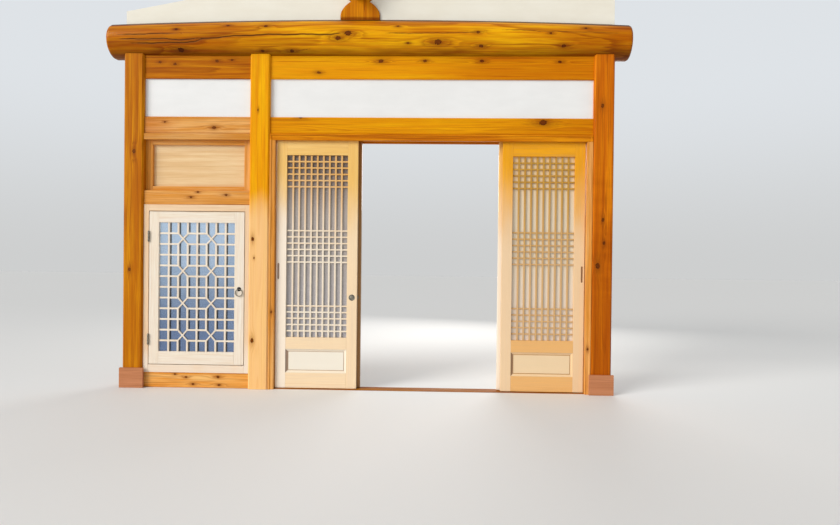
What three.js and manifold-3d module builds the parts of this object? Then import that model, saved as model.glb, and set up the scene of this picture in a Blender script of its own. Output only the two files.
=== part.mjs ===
// End wall of a Korean timber-framed room: three square posts carry a round
// girder, a carved king post carries the ridge purlin, and between the posts
// stand a wide doorway with four sliding lattice leaves and a small hinged door.
// Millimetres. +X runs to the right along the wall, +Y points away from the
// room, +Z is up. The origin is on the floor below the middle of the girder.

import * as THREE from 'three';
import { mergeVertices } from 'three/addons/utils/BufferGeometryUtils.js';
import Module from 'manifold-3d';

const wasm = await Module();
wasm.setup();

// Plan: post centres along the wall.
const NARROW_BAY = 1020;
const WIDE_BAY = 2730;
const POST_SIZE = 160;
const LEFT_POST_X = -(NARROW_BAY + WIDE_BAY) / 2;
const MIDDLE_POST_X = LEFT_POST_X + NARROW_BAY;
const RIGHT_POST_X = LEFT_POST_X + NARROW_BAY + WIDE_BAY;
const POST_HALF = POST_SIZE / 2;

// Levels above the floor, shared by both bays.
const HEAD_BOTTOM = 1997;
const LINTEL_BOTTOM = 2049;
const LINTEL_TOP = 2184;
const RAIL_BOTTOM = 2488;
const GIRDER_BOTTOM = 2660;

// Depths: half thicknesses of rails, plaster and door frames.
const RAIL_HALF = 60;
const PLASTER_HALF = 45;
const FRAME_HALF = 70;

// Chamfers on the long edges of posts, of beams and of door frames.
const POST_CHAMFER = 11;
const RAIL_CHAMFER = 6;
const FRAME_CHAMFER = 4;

// Bead that covers the joint round the doorway frame, on both faces of the wall.
const BEAD_WIDTH = 17;
const BEAD_PROUD = 5;
const BEAD_CHAMFER = 4;

// Clearance kept where one piece is scribed or cut to fit another, how far a
// cutting shape runs past the face it cuts, and the lap of two joined shapes.
const SCRIBE_GAP = 0.3;
const OVERRUN = 1;
const JOIN_LAP = 1;
const MERGE_TOLERANCE = 0.001;

// Round girder: straight below, cambered above, thinner at both ends.
const GIRDER_LENGTH = 4150;
const GIRDER_RADIUS = 156;
const GIRDER_LEFT_RADIUS = 136;
const GIRDER_RIGHT_RADIUS = 136;
const GIRDER_SIDES = 28;
const GIRDER_STEPS = 10;

// Casing boards round the feet of the two corner posts.
const CASING_HEIGHT = 160;
const CASING_SIZE = 192;

// King post, ridge purlin and the rail below the purlin.
const KING_X = -62;
const KING_HALF_DEPTH = 60;
const KING_LOBE = 158;
const KING_NECK = 75;
const KING_UPPER = 124;
const KING_SHOULDER = 24;
const KING_CURVE_STEPS = 5;
const PURLIN_RADIUS = 120;
const PURLIN_Z = 3340;
const PURLIN_HALF_LENGTH = 200;
const PURLIN_SIDES = 24;
const PURLIN_RAIL_WIDTH = 86;
const PURLIN_RAIL_BOTTOM = 3130;

// Flank of the king post above its shoulder: each curve has two control points
// and an end, as [distance from the centre line, height above the girder].
const KING_FLANK = [
  [[KING_LOBE - 2, 74], [KING_NECK + 41, 102], [KING_NECK, 134]],
  [[KING_NECK + 10, 154], [KING_UPPER, 158], [KING_UPPER, 198]],
  [[KING_UPPER, 222], [KING_UPPER - 20, 246], [KING_UPPER - 34, 368]],
];

// Gable plaster below the sloping ceiling, which falls faster on the left.
const GABLE_PEAK = 3392;
const GABLE_LEFT_SLOPE = 0.19;
const GABLE_RIGHT_SLOPE = 0.125;
const GABLE_LAP = 40;

// Narrow bay: sill beam, casing of the small door, middle rail and transom.
const BAY_SILL_TOP = 122;
const SMALL_CASING_TOP = 1476;
const SMALL_CASING_HEAD = 52;
const SMALL_CASING_SILL = 62;
const SMALL_JAMB_LEFT = 42;
const SMALL_JAMB_RIGHT = 36;
const SMALL_CASING_HALF = 62;
const MIDDLE_RAIL_TOP = 1592;
const TRANSOM_STILE = 56;
const TRANSOM_RAIL = 34;
const TRANSOM_HALF = 30;
const TRANSOM_PANEL_HALF = 7;

// Small hinged door.
const DOOR_CLEAR = 5;
const DOOR_THICK = 36;
const DOOR_FRONT = -SMALL_CASING_HALF;
const DOOR_STILE = 78;
const DOOR_TOP_RAIL = 88;
const DOOR_BOTTOM_RAIL = 102;
const DOOR_COLUMNS = 8;
const DOOR_ROWS = 12;
const CROSSED_COLUMNS = [2, 5];
const CROSSED_ROWS = [1, 4, 7, 10];
const DOOR_BAR = 14;
const DOOR_BAR_DEPTH = 14;
const DOOR_LATTICE_SETBACK = 8;
const DOOR_GLASS = 5;
const STOP_WIDTH = 14;
const STOP_DEPTH = 20;
const HINGE_RADIUS = 7;
const HINGE_LENGTH = 90;
const HINGE_SIDES = 12;
const HINGE_INSET = 200;
const RING_RADIUS = 28;
const RING_WIRE = 3.5;
const RING_PLATE = 17;
const RING_PLATE_THICK = 6;
const RING_PLATE_SIDES = 16;
const RING_WIRE_SIDES = 8;
const RING_STEPS = 24;
const RING_Z = 800;

// Doorway frame of the wide bay.
const JAMB_WIDTH = 46;
const HEAD_LIP = 18;
const LIP_WIDTH = 24;
const THRESHOLD_TOP = 6;
const THRESHOLD_HALF = 52;
const TRACK_TOP = 8.7;
const TRACK_WIDTH = 10;

// Sliding leaves: two on the front track, two on the rear track.
const LEAF_WIDTH = 656;
const LEAF_BOTTOM = 9;
const LEAF_TOP = 2007;
const LEAF_THICK = 36;
const LEAF_GAP = 8;
const LEAF_STILE = 82;
const LEAF_BOTTOM_RAIL = 122;
const LEAF_PANEL = 191;
const LEAF_MIDDLE_RAIL = 95;
const LEAF_TOP_RAIL = 123;
const REAR_OFFSET = 25;
const PANEL_SLOPE = 22;
const PANEL_SUNK = 9;
const LATTICE_COLUMNS = 10;
const LATTICE_UNITS = 29;
const LATTICE_BAR = 14;
const LATTICE_CROSS_BAR = 12;
const LATTICE_DEPTH = 12;
const LATTICE_FRONT = -9;
const PANE_THICK = 4;
const ROUND_PULL_RADIUS = 24;
const ROUND_PULL_Z = 742;
const SLOT_PULL_WIDTH = 16;
const SLOT_PULL_LENGTH = 130;
const SLOT_PULL_Z = 949;
const SLOT_PULL_INSET = 19;
const SLOT_ARC_STEPS = 8;
const PULL_DEPTH = 9;
const PULL_SIDES = 20;

// Rows of the lattice that carry a cross bar, counted in units from the bottom.
const CROSS_ROWS = [1, 2, 3, 4, 5, 12, 13, 14, 15, 16, 17, 24, 25, 26, 27, 28];

const wall = new THREE.Group();

const FINISH = {
  amberPine: { color: 0xe08a24, roughness: 0.35, metalness: 0 },
  palePine: { color: 0xf4d096, roughness: 0.4, metalness: 0 },
  footPine: { color: 0xcd966e, roughness: 0.5, metalness: 0 },
  plaster: { color: 0xebebe8, roughness: 0.9, metalness: 0 },
  gable: { color: 0xf0eada, roughness: 0.9, metalness: 0 },
  frosted: { color: 0xd9c8a8, roughness: 0.5, metalness: 0 },
  blueGlass: { color: 0x8ca5cd, roughness: 0.15, metalness: 0 },
  blackIron: { color: 0x1e1e22, roughness: 0.45, metalness: 1 },
  nickel: { color: 0xa5a29a, roughness: 0.35, metalness: 1 },
};

// Adds one named piece to a group.
function piece(name, geometry, finish, parent = wall) {
  const material = new THREE.MeshStandardMaterial(FINISH[finish]);
  const mesh = new THREE.Mesh(geometry, material);
  mesh.name = name;
  parent.add(mesh);
  return mesh;
}

// A rectangular block between two corners.
function block(x0, x1, y0, y1, z0, z1) {
  const geometry = new THREE.BoxGeometry(x1 - x0, y1 - y0, z1 - z0);
  geometry.translate((x0 + x1) / 2, (y0 + y1) / 2, (z0 + z1) / 2);
  return geometry;
}

// The corners of a rectangle whose four corners are cut off by a chamfer.
function chamferedSection(width, height, chamfer) {
  const w = width / 2;
  const h = height / 2;
  return new THREE.Shape([
    [w - chamfer, -h], [w, chamfer - h], [w, h - chamfer], [w - chamfer, h],
    [chamfer - w, h], [-w, h - chamfer], [-w, chamfer - h], [chamfer - w, -h],
  ].map(([a, b]) => new THREE.Vector2(a, b)));
}

// A timber between two corners, its long edges chamfered; it runs along X or Z.
function timber(x0, x1, y0, y1, z0, z1, chamfer) {
  const upright = z1 - z0 > x1 - x0;
  const width = upright ? x1 - x0 : z1 - z0;
  const length = upright ? z1 - z0 : x1 - x0;
  const geometry = new THREE.ExtrudeGeometry(chamferedSection(width, y1 - y0, chamfer), {
    depth: length,
    bevelEnabled: false,
  });
  geometry.translate(0, 0, -length / 2);
  if (!upright) {
    geometry.rotateY(Math.PI / 2);
  }
  geometry.translate((x0 + x1) / 2, (y0 + y1) / 2, (z0 + z1) / 2);
  return geometry;
}

// A flat shape drawn in X and Z, given thickness from y0 to y1.
function plate(shape, y0, y1, curveSegments = 1) {
  const geometry = new THREE.ExtrudeGeometry(shape, {
    depth: y1 - y0,
    bevelEnabled: false,
    curveSegments,
  });
  geometry.rotateX(Math.PI / 2);
  geometry.translate(0, y1, 0);
  return geometry;
}

// A round bar along Y or Z, centred on a point.
function roundBar(radius, length, sides, axis, x, y, z) {
  const geometry = new THREE.CylinderGeometry(radius, radius, length, sides);
  if (axis === 'z') {
    geometry.rotateX(Math.PI / 2);
  }
  geometry.translate(x, y, z);
  return geometry;
}

// Turns a closed geometry into a solid that can be cut and joined.
function solid(geometry) {
  const bare = geometry.clone();
  bare.deleteAttribute('normal');
  bare.deleteAttribute('uv');
  const merged = mergeVertices(bare, MERGE_TOLERANCE);
  return new wasm.Manifold(new wasm.Mesh({
    numProp: 3,
    vertProperties: new Float32Array(merged.attributes.position.array),
    triVerts: new Uint32Array(merged.index.array),
  }));
}

// Turns a solid back into a geometry.
function surface(body) {
  const mesh = body.getMesh();
  const geometry = new THREE.BufferGeometry();
  geometry.setAttribute('position', new THREE.BufferAttribute(mesh.vertProperties, 3));
  geometry.setIndex(new THREE.BufferAttribute(mesh.triVerts, 1));
  geometry.computeVertexNormals();
  return geometry;
}

// Joins several geometries into one body.
function joined(geometries) {
  return geometries.map(solid).reduce((whole, next) => whole.add(next));
}

// Cuts several geometries out of one body.
function carved(body, cutters) {
  return cutters.map(solid).reduce((whole, next) => whole.subtract(next), body);
}

// Radius of the girder at a place along the wall.
function girderRadius(x) {
  const reach = x / (GIRDER_LENGTH / 2);
  const end = x < 0 ? GIRDER_LEFT_RADIUS : GIRDER_RIGHT_RADIUS;
  return GIRDER_RADIUS + (end - GIRDER_RADIUS) * reach * reach;
}

// The girder, or a slightly larger one for scribing other pieces to it.
function girderGeometry(extra = 0) {
  const geometry = new THREE.CylinderGeometry(
    1, 1, GIRDER_LENGTH + 2 * extra, GIRDER_SIDES, GIRDER_STEPS,
  );
  geometry.rotateZ(Math.PI / 2);
  geometry.rotateX(Math.PI / GIRDER_SIDES);
  const points = geometry.attributes.position;
  for (let i = 0; i < points.count; i += 1) {
    const x = points.getX(i);
    const radius = girderRadius(x);
    const axisHeight = GIRDER_BOTTOM + radius;
    const reach = (radius + extra) / Math.cos(Math.PI / GIRDER_SIDES);
    points.setY(i, points.getY(i) * reach);
    points.setZ(i, points.getZ(i) * reach + axisHeight);
  }
  geometry.computeVertexNormals();
  return geometry;
}

// Square posts, scribed at the top to the underside of the girder.
function addPosts() {
  const posts = [
    ['left_post', LEFT_POST_X],
    ['middle_post', MIDDLE_POST_X],
    ['right_post', RIGHT_POST_X],
  ];
  for (const [name, x] of posts) {
    const blank = timber(
      x - POST_HALF, x + POST_HALF, -POST_HALF, POST_HALF, 0, GIRDER_BOTTOM + POST_HALF / 2,
      POST_CHAMFER,
    );
    const shaft = carved(solid(blank), [girderGeometry(SCRIBE_GAP)]);
    piece(name, surface(shaft), 'amberPine');
  }
}

// Low casings of boards over the room side of the two corner posts' feet. Their
// short returns stop at the timber that stands against each side of the post.
function addFootCasings() {
  const casings = [['left_foot_casing', LEFT_POST_X], ['right_foot_casing', RIGHT_POST_X]];
  const half = CASING_SIZE / 2;
  const bore = POST_HALF + SCRIBE_GAP;
  const back = -FRAME_HALF - BEAD_PROUD - SCRIBE_GAP;
  for (const [name, x] of casings) {
    const boards = block(x - half, x + half, -half, back, 0, CASING_HEIGHT);
    const hole = block(x - bore, x + bore, -bore, bore, -OVERRUN, CASING_HEIGHT + OVERRUN);
    piece(name, surface(carved(solid(boards), [hole])), 'footPine');
  }
}

// Outline of the king post: two tiers of rounded lobes with a neck between.
function kingShape(extra = 0) {
  const base = GIRDER_BOTTOM + 2 * GIRDER_RADIUS;
  const foot = base - GIRDER_RADIUS / 2;
  const point = ([out, height], side) => [side * (out + extra), base + height];
  const shape = new THREE.Shape();
  shape.moveTo(...point([KING_LOBE, foot - base], -1));
  shape.lineTo(...point([KING_LOBE, foot - base], 1));
  shape.lineTo(...point([KING_LOBE, KING_SHOULDER], 1));
  for (const [first, second, end] of KING_FLANK) {
    shape.bezierCurveTo(...point(first, 1), ...point(second, 1), ...point(end, 1));
  }
  const ends = [[KING_LOBE, KING_SHOULDER], ...KING_FLANK.map((curve) => curve[2])];
  shape.lineTo(...point(ends.at(-1), -1));
  for (let i = KING_FLANK.length - 1; i >= 0; i -= 1) {
    const [first, second] = KING_FLANK[i];
    shape.bezierCurveTo(...point(second, -1), ...point(first, -1), ...point(ends[i], -1));
  }
  shape.closePath();
  return shape;
}

function purlinGeometry(extra = 0) {
  return roundBar(
    PURLIN_RADIUS + extra, 2 * (PURLIN_HALF_LENGTH + extra), PURLIN_SIDES, 'y', KING_X, 0, PURLIN_Z,
  );
}

function purlinRailGeometry(extra = 0) {
  const half = PURLIN_RAIL_WIDTH / 2 + extra;
  const reach = PURLIN_HALF_LENGTH + extra;
  return block(
    KING_X - half, KING_X + half, -reach, reach, PURLIN_RAIL_BOTTOM - extra, PURLIN_Z,
  );
}

function kingGeometry(halfDepth, extra = 0) {
  const geometry = plate(kingShape(extra), -halfDepth, halfDepth, KING_CURVE_STEPS);
  geometry.translate(KING_X, 0, 0);
  return geometry;
}

// King post on the girder, with the purlin and its rail lying in its top.
function addRidge() {
  const king = carved(solid(kingGeometry(KING_HALF_DEPTH)), [
    girderGeometry(SCRIBE_GAP),
    purlinGeometry(SCRIBE_GAP),
    purlinRailGeometry(SCRIBE_GAP),
  ]);
  piece('king_post', surface(king), 'amberPine');
  const rail = carved(solid(purlinRailGeometry()), [purlinGeometry(SCRIBE_GAP)]);
  piece('purlin_rail', surface(rail), 'amberPine');
  piece('ridge_purlin', purlinGeometry(), 'amberPine');
}

// Plaster between the girder and the sloping ceiling, one panel a side.
function addGable() {
  const panels = [
    ['left_gable_plaster', LEFT_POST_X - POST_HALF, KING_X - GABLE_LAP, GABLE_LEFT_SLOPE],
    ['right_gable_plaster', RIGHT_POST_X + POST_HALF, KING_X + GABLE_LAP, GABLE_RIGHT_SLOPE],
  ];
  for (const [name, outerX, innerX, slope] of panels) {
    const outerTop = GABLE_PEAK - slope * Math.abs(outerX - KING_X);
    const innerTop = GABLE_PEAK - slope * GABLE_LAP;
    const foot = GIRDER_BOTTOM + GIRDER_RADIUS;
    const shape = new THREE.Shape();
    shape.moveTo(outerX, foot);
    shape.lineTo(innerX, foot);
    shape.lineTo(innerX, innerTop);
    shape.lineTo(outerX, outerTop);
    shape.closePath();
    const panel = carved(solid(plate(shape, -PLASTER_HALF, PLASTER_HALF)), [
      girderGeometry(SCRIBE_GAP),
      kingGeometry(KING_HALF_DEPTH, SCRIBE_GAP),
      purlinGeometry(SCRIBE_GAP),
      purlinRailGeometry(SCRIBE_GAP),
    ]);
    piece(name, surface(panel), 'gable');
  }
}

// Top rail, plaster and lintel above each bay.
function addUpperWall() {
  const bays = [
    ['left', LEFT_POST_X + POST_HALF, MIDDLE_POST_X - POST_HALF],
    ['right', MIDDLE_POST_X + POST_HALF, RIGHT_POST_X - POST_HALF],
  ];
  for (const [side, x0, x1] of bays) {
    const railTop = GIRDER_BOTTOM + RAIL_HALF / 2;
    const blank = timber(x0, x1, -RAIL_HALF, RAIL_HALF, RAIL_BOTTOM, railTop, RAIL_CHAMFER);
    const rail = carved(solid(blank), [girderGeometry(SCRIBE_GAP)]);
    const plaster = block(x0, x1, -PLASTER_HALF, PLASTER_HALF, LINTEL_TOP, RAIL_BOTTOM);
    const lintel = timber(
      x0, x1, -RAIL_HALF, RAIL_HALF, LINTEL_BOTTOM, LINTEL_TOP, RAIL_CHAMFER,
    );
    piece(`${side}_top_rail`, surface(rail), 'amberPine');
    piece(`${side}_upper_plaster`, plaster, 'plaster');
    piece(`${side}_lintel`, lintel, 'amberPine');
  }
}

// A rectangular hole for a lattice or frame shape.
function rectangle(path, x0, x1, z0, z1) {
  path.moveTo(x0, z0);
  path.lineTo(x1, z0);
  path.lineTo(x1, z1);
  path.lineTo(x0, z1);
  path.closePath();
  return path;
}

// A frame of four members round one opening.
function frameShape(x0, x1, z0, z1, left, right, bottom, top) {
  const shape = rectangle(new THREE.Shape(), x0, x1, z0, z1);
  shape.holes.push(
    rectangle(new THREE.Path(), x0 + left, x1 - right, z0 + bottom, z1 - top),
  );
  return shape;
}

const BAY_X0 = LEFT_POST_X + POST_HALF;
const BAY_X1 = MIDDLE_POST_X - POST_HALF;

// Fixed timber of the narrow bay, from the floor up to the lintel.
function addNarrowBay() {
  const sill = timber(BAY_X0, BAY_X1, -RAIL_HALF, RAIL_HALF, 0, BAY_SILL_TOP, RAIL_CHAMFER);
  piece('bay_sill_beam', sill, 'amberPine');
  const casing = plate(
    frameShape(
      BAY_X0, BAY_X1, BAY_SILL_TOP, SMALL_CASING_TOP,
      SMALL_JAMB_LEFT, SMALL_JAMB_RIGHT, SMALL_CASING_SILL, SMALL_CASING_HEAD,
    ),
    -SMALL_CASING_HALF, SMALL_CASING_HALF,
  );
  const stopY = DOOR_FRONT + DOOR_THICK + DOOR_CLEAR;
  const stop = plate(
    frameShape(
      BAY_X0 + SMALL_JAMB_LEFT - JOIN_LAP, BAY_X1 - SMALL_JAMB_RIGHT + JOIN_LAP,
      BAY_SILL_TOP + SMALL_CASING_SILL - JOIN_LAP, SMALL_CASING_TOP - SMALL_CASING_HEAD + JOIN_LAP,
      STOP_WIDTH, STOP_WIDTH, STOP_WIDTH, STOP_WIDTH,
    ),
    stopY, stopY + STOP_DEPTH,
  );
  piece('small_door_casing', surface(joined([casing, stop])), 'amberPine');
  const rail = timber(
    BAY_X0, BAY_X1, -RAIL_HALF, RAIL_HALF, SMALL_CASING_TOP, MIDDLE_RAIL_TOP, RAIL_CHAMFER,
  );
  piece('bay_middle_rail', rail, 'amberPine');
  const transom = plate(
    frameShape(
      BAY_X0, BAY_X1, MIDDLE_RAIL_TOP, HEAD_BOTTOM,
      TRANSOM_STILE, TRANSOM_STILE, TRANSOM_RAIL, TRANSOM_RAIL,
    ),
    -TRANSOM_HALF, TRANSOM_HALF,
  );
  piece('transom_frame', transom, 'amberPine');
  const panel = block(
    BAY_X0 + TRANSOM_STILE, BAY_X1 - TRANSOM_STILE, -TRANSOM_PANEL_HALF, TRANSOM_PANEL_HALF,
    MIDDLE_RAIL_TOP + TRANSOM_RAIL, HEAD_BOTTOM - TRANSOM_RAIL,
  );
  piece('transom_panel', panel, 'palePine');
  const head = timber(
    BAY_X0, BAY_X1, -FRAME_HALF, FRAME_HALF, HEAD_BOTTOM, LINTEL_BOTTOM, FRAME_CHAMFER,
  );
  piece('bay_head', head, 'amberPine');
}

// Small door: leaf edges, placed inside its casing with an even clearance.
const DOOR_X0 = BAY_X0 + SMALL_JAMB_LEFT + DOOR_CLEAR;
const DOOR_X1 = BAY_X1 - SMALL_JAMB_RIGHT - DOOR_CLEAR;
const DOOR_Z0 = BAY_SILL_TOP + SMALL_CASING_SILL + DOOR_CLEAR;
const DOOR_Z1 = SMALL_CASING_TOP - SMALL_CASING_HEAD - DOOR_CLEAR;
const DOOR_BACK = DOOR_FRONT + DOOR_THICK;

// Where the small door's lattice has crossed diagonals in place of four bars.
function isCrossed(column, row) {
  return CROSSED_COLUMNS.includes(column) && CROSSED_ROWS.includes(row);
}

// A straight bar of the given width between two points of the lattice plane.
function bar(x0, z0, x1, z1, width, y0, y1) {
  const length = Math.hypot(x1 - x0, z1 - z0);
  const geometry = new THREE.BoxGeometry(length, y1 - y0, width);
  geometry.rotateY(-Math.atan2(z1 - z0, x1 - x0));
  geometry.translate((x0 + x1) / 2, (y0 + y1) / 2, (z0 + z1) / 2);
  return geometry;
}

// Joins the steps of one lattice line that aren't left out into long stretches.
function stretches(count, isLeftOut) {
  const found = [];
  let start = null;
  for (let step = 0; step <= count; step += 1) {
    const open = step === count || isLeftOut(step);
    if (!open && start === null) {
      start = step;
    }
    if (open && start !== null) {
      found.push([start, step]);
      start = null;
    }
  }
  return found;
}

// Bars of the small door: a grid whose crossed cells lose their four edges and
// get two diagonals, so that long hexagons form between them.
function doorLattice(x0, x1, z0, z1, y0, y1) {
  const pitchX = (x1 - x0) / DOOR_COLUMNS;
  const pitchZ = (z1 - z0) / DOOR_ROWS;
  const atX = (column) => x0 + column * pitchX;
  const atZ = (row) => z0 + row * pitchZ;
  const lap = DOOR_BAR / 2;
  const bars = [];
  for (let column = 1; column < DOOR_COLUMNS; column += 1) {
    const out = (row) => isCrossed(column - 1, row) || isCrossed(column, row);
    for (const [a, b] of stretches(DOOR_ROWS, out)) {
      const low = a === 0 ? z0 : atZ(a) - lap;
      const high = b === DOOR_ROWS ? z1 : atZ(b) + lap;
      bars.push(bar(atX(column), low, atX(column), high, DOOR_BAR, y0, y1));
    }
  }
  for (let row = 1; row < DOOR_ROWS; row += 1) {
    const out = (column) => isCrossed(column, row - 1) || isCrossed(column, row);
    for (const [a, b] of stretches(DOOR_COLUMNS, out)) {
      const left = a === 0 ? x0 : atX(a) - lap;
      const right = b === DOOR_COLUMNS ? x1 : atX(b) + lap;
      bars.push(bar(left, atZ(row), right, atZ(row), DOOR_BAR, y0, y1));
    }
  }
  for (let row = 0; row < DOOR_ROWS; row += 1) {
    for (let column = 0; column < DOOR_COLUMNS; column += 1) {
      if (isCrossed(column, row)) {
        const [a, b, c, d] = [atX(column), atX(column + 1), atZ(row), atZ(row + 1)];
        bars.push(bar(a, c, b, d, DOOR_BAR, y0, y1));
        bars.push(bar(a, d, b, c, DOOR_BAR, y0, y1));
      }
    }
  }
  return surface(joined(bars));
}

// The small door: frame, lattice and glass.
function addSmallDoor() {
  const frame = plate(
    frameShape(
      DOOR_X0, DOOR_X1, DOOR_Z0, DOOR_Z1,
      DOOR_STILE, DOOR_STILE, DOOR_BOTTOM_RAIL, DOOR_TOP_RAIL,
    ),
    DOOR_FRONT, DOOR_BACK,
  );
  piece('small_door_frame', frame, 'palePine');
  const x0 = DOOR_X0 + DOOR_STILE + SCRIBE_GAP;
  const x1 = DOOR_X1 - DOOR_STILE - SCRIBE_GAP;
  const z0 = DOOR_Z0 + DOOR_BOTTOM_RAIL + SCRIBE_GAP;
  const z1 = DOOR_Z1 - DOOR_TOP_RAIL - SCRIBE_GAP;
  const latticeFront = DOOR_FRONT + DOOR_LATTICE_SETBACK;
  const latticeBack = latticeFront + DOOR_BAR_DEPTH;
  piece('small_door_lattice', doorLattice(x0, x1, z0, z1, latticeFront, latticeBack), 'palePine');
  const glassFront = latticeBack + SCRIBE_GAP;
  piece('small_door_glass', block(x0, x1, glassFront, glassFront + DOOR_GLASS, z0, z1), 'blueGlass');
}

// Hinge knuckles beside the left stile and the ring pull on the right stile.
function addSmallDoorHardware() {
  const hingeX = DOOR_X0 - DOOR_CLEAR / 2;
  const hingeY = DOOR_FRONT - HINGE_RADIUS - SCRIBE_GAP;
  const levels = [['lower', DOOR_Z0 + HINGE_INSET], ['upper', DOOR_Z1 - HINGE_INSET]];
  for (const [name, z] of levels) {
    const knuckle = roundBar(HINGE_RADIUS, HINGE_LENGTH, HINGE_SIDES, 'z', hingeX, hingeY, z);
    piece(`small_door_${name}_hinge`, knuckle, 'nickel');
  }
  const x = DOOR_X1 - DOOR_STILE / 2;
  const plateY = DOOR_FRONT - RING_PLATE_THICK / 2 - SCRIBE_GAP;
  const disc = roundBar(
    RING_PLATE, RING_PLATE_THICK, RING_PLATE_SIDES, 'y', x, plateY, RING_Z,
  );
  const ring = new THREE.TorusGeometry(RING_RADIUS, RING_WIRE, RING_WIRE_SIDES, RING_STEPS);
  ring.rotateX(Math.PI / 2);
  ring.translate(x, plateY - RING_WIRE, RING_Z - RING_RADIUS);
  piece('small_door_ring_pull', surface(joined([disc, ring])), 'blackIron');
}

const DOORWAY_X0 = MIDDLE_POST_X + POST_HALF;
const DOORWAY_X1 = RIGHT_POST_X - POST_HALF;
const FRONT_TRACK_Y = -(LEAF_THICK + LEAF_GAP) / 2;

// One straight stretch of the bead, sunk a little into the frame's face.
function beadStrip(x0, x1, side, z0, z1) {
  const root = side * (FRAME_HALF - BEAD_PROUD);
  const tip = side * (FRAME_HALF + BEAD_PROUD);
  return timber(x0, x1, Math.min(root, tip), Math.max(root, tip), z0, z1, BEAD_CHAMFER);
}

// Head, jambs and threshold of the wide doorway.
function addDoorway() {
  const headTop = LINTEL_BOTTOM;
  const beam = timber(
    DOORWAY_X0, DOORWAY_X1, -FRAME_HALF, FRAME_HALF, HEAD_BOTTOM, headTop, FRAME_CHAMFER,
  );
  const headBeads = [-1, 1].flatMap((side) => [
    beadStrip(DOORWAY_X0, DOORWAY_X1, side, LINTEL_BOTTOM - BEAD_WIDTH, LINTEL_BOTTOM),
    beadStrip(DOORWAY_X0, DOORWAY_X0 + BEAD_WIDTH, side, HEAD_BOTTOM, LINTEL_BOTTOM),
    beadStrip(DOORWAY_X1 - BEAD_WIDTH, DOORWAY_X1, side, HEAD_BOTTOM, LINTEL_BOTTOM),
  ]);
  const groove = block(
    DOORWAY_X0 - OVERRUN, DOORWAY_X1 + OVERRUN, LIP_WIDTH - FRAME_HALF, FRAME_HALF - LIP_WIDTH,
    HEAD_BOTTOM - OVERRUN, HEAD_BOTTOM + HEAD_LIP,
  );
  piece('doorway_head', surface(carved(joined([beam, ...headBeads]), [groove])), 'amberPine');
  const jambs = [
    ['doorway_left_jamb', DOORWAY_X0, DOORWAY_X0],
    ['doorway_right_jamb', DOORWAY_X1 - JAMB_WIDTH, DOORWAY_X1 - BEAD_WIDTH],
  ];
  for (const [name, x, beadX] of jambs) {
    const jamb = timber(
      x, x + JAMB_WIDTH, -FRAME_HALF, FRAME_HALF, 0, HEAD_BOTTOM, FRAME_CHAMFER,
    );
    const beads = [-1, 1].map(
      (side) => beadStrip(beadX, beadX + BEAD_WIDTH, side, 0, HEAD_BOTTOM),
    );
    piece(name, surface(joined([jamb, ...beads])), 'amberPine');
  }
  const x0 = DOORWAY_X0 + JAMB_WIDTH;
  const x1 = DOORWAY_X1 - JAMB_WIDTH;
  const board = block(x0, x1, -THRESHOLD_HALF, THRESHOLD_HALF, 0, THRESHOLD_TOP);
  const tracks = [FRONT_TRACK_Y, -FRONT_TRACK_Y].map((y) => block(
    x0, x1, y - TRACK_WIDTH / 2, y + TRACK_WIDTH / 2, THRESHOLD_TOP - JOIN_LAP, TRACK_TOP,
  ));
  piece('threshold', surface(joined([board, ...tracks])), 'amberPine');
}

// A sunken panel's recess: its sides slope inward from the mouth to the floor.
function slopedRecess(x0, x1, z0, z1, yMouth, yFloor, slope) {
  const geometry = block(x0, x1, Math.min(yMouth, yFloor), Math.max(yMouth, yFloor), z0, z1);
  const points = geometry.attributes.position;
  const centre = [(x0 + x1) / 2, (yMouth + yFloor) / 2, (z0 + z1) / 2];
  for (let i = 0; i < points.count; i += 1) {
    const onFloor = (points.getY(i) - centre[1]) * (yFloor - centre[1]) > 0;
    if (onFloor) {
      points.setX(i, points.getX(i) - Math.sign(points.getX(i) - centre[0]) * slope);
      points.setZ(i, points.getZ(i) - Math.sign(points.getZ(i) - centre[2]) * slope);
    }
  }
  return geometry;
}

// A slot with round ends, cut into a stile for a flush pull.
function slotCutter(x, z, y0, y1) {
  const radius = SLOT_PULL_WIDTH / 2;
  const reach = SLOT_PULL_LENGTH / 2 - radius;
  const shape = new THREE.Shape();
  shape.moveTo(x + radius, z - reach);
  shape.lineTo(x + radius, z + reach);
  shape.absarc(x, z + reach, radius, 0, Math.PI, false);
  shape.lineTo(x - radius, z - reach);
  shape.absarc(x, z - reach, radius, Math.PI, 2 * Math.PI, false);
  return plate(shape, y0, y1, SLOT_ARC_STEPS);
}

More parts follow.
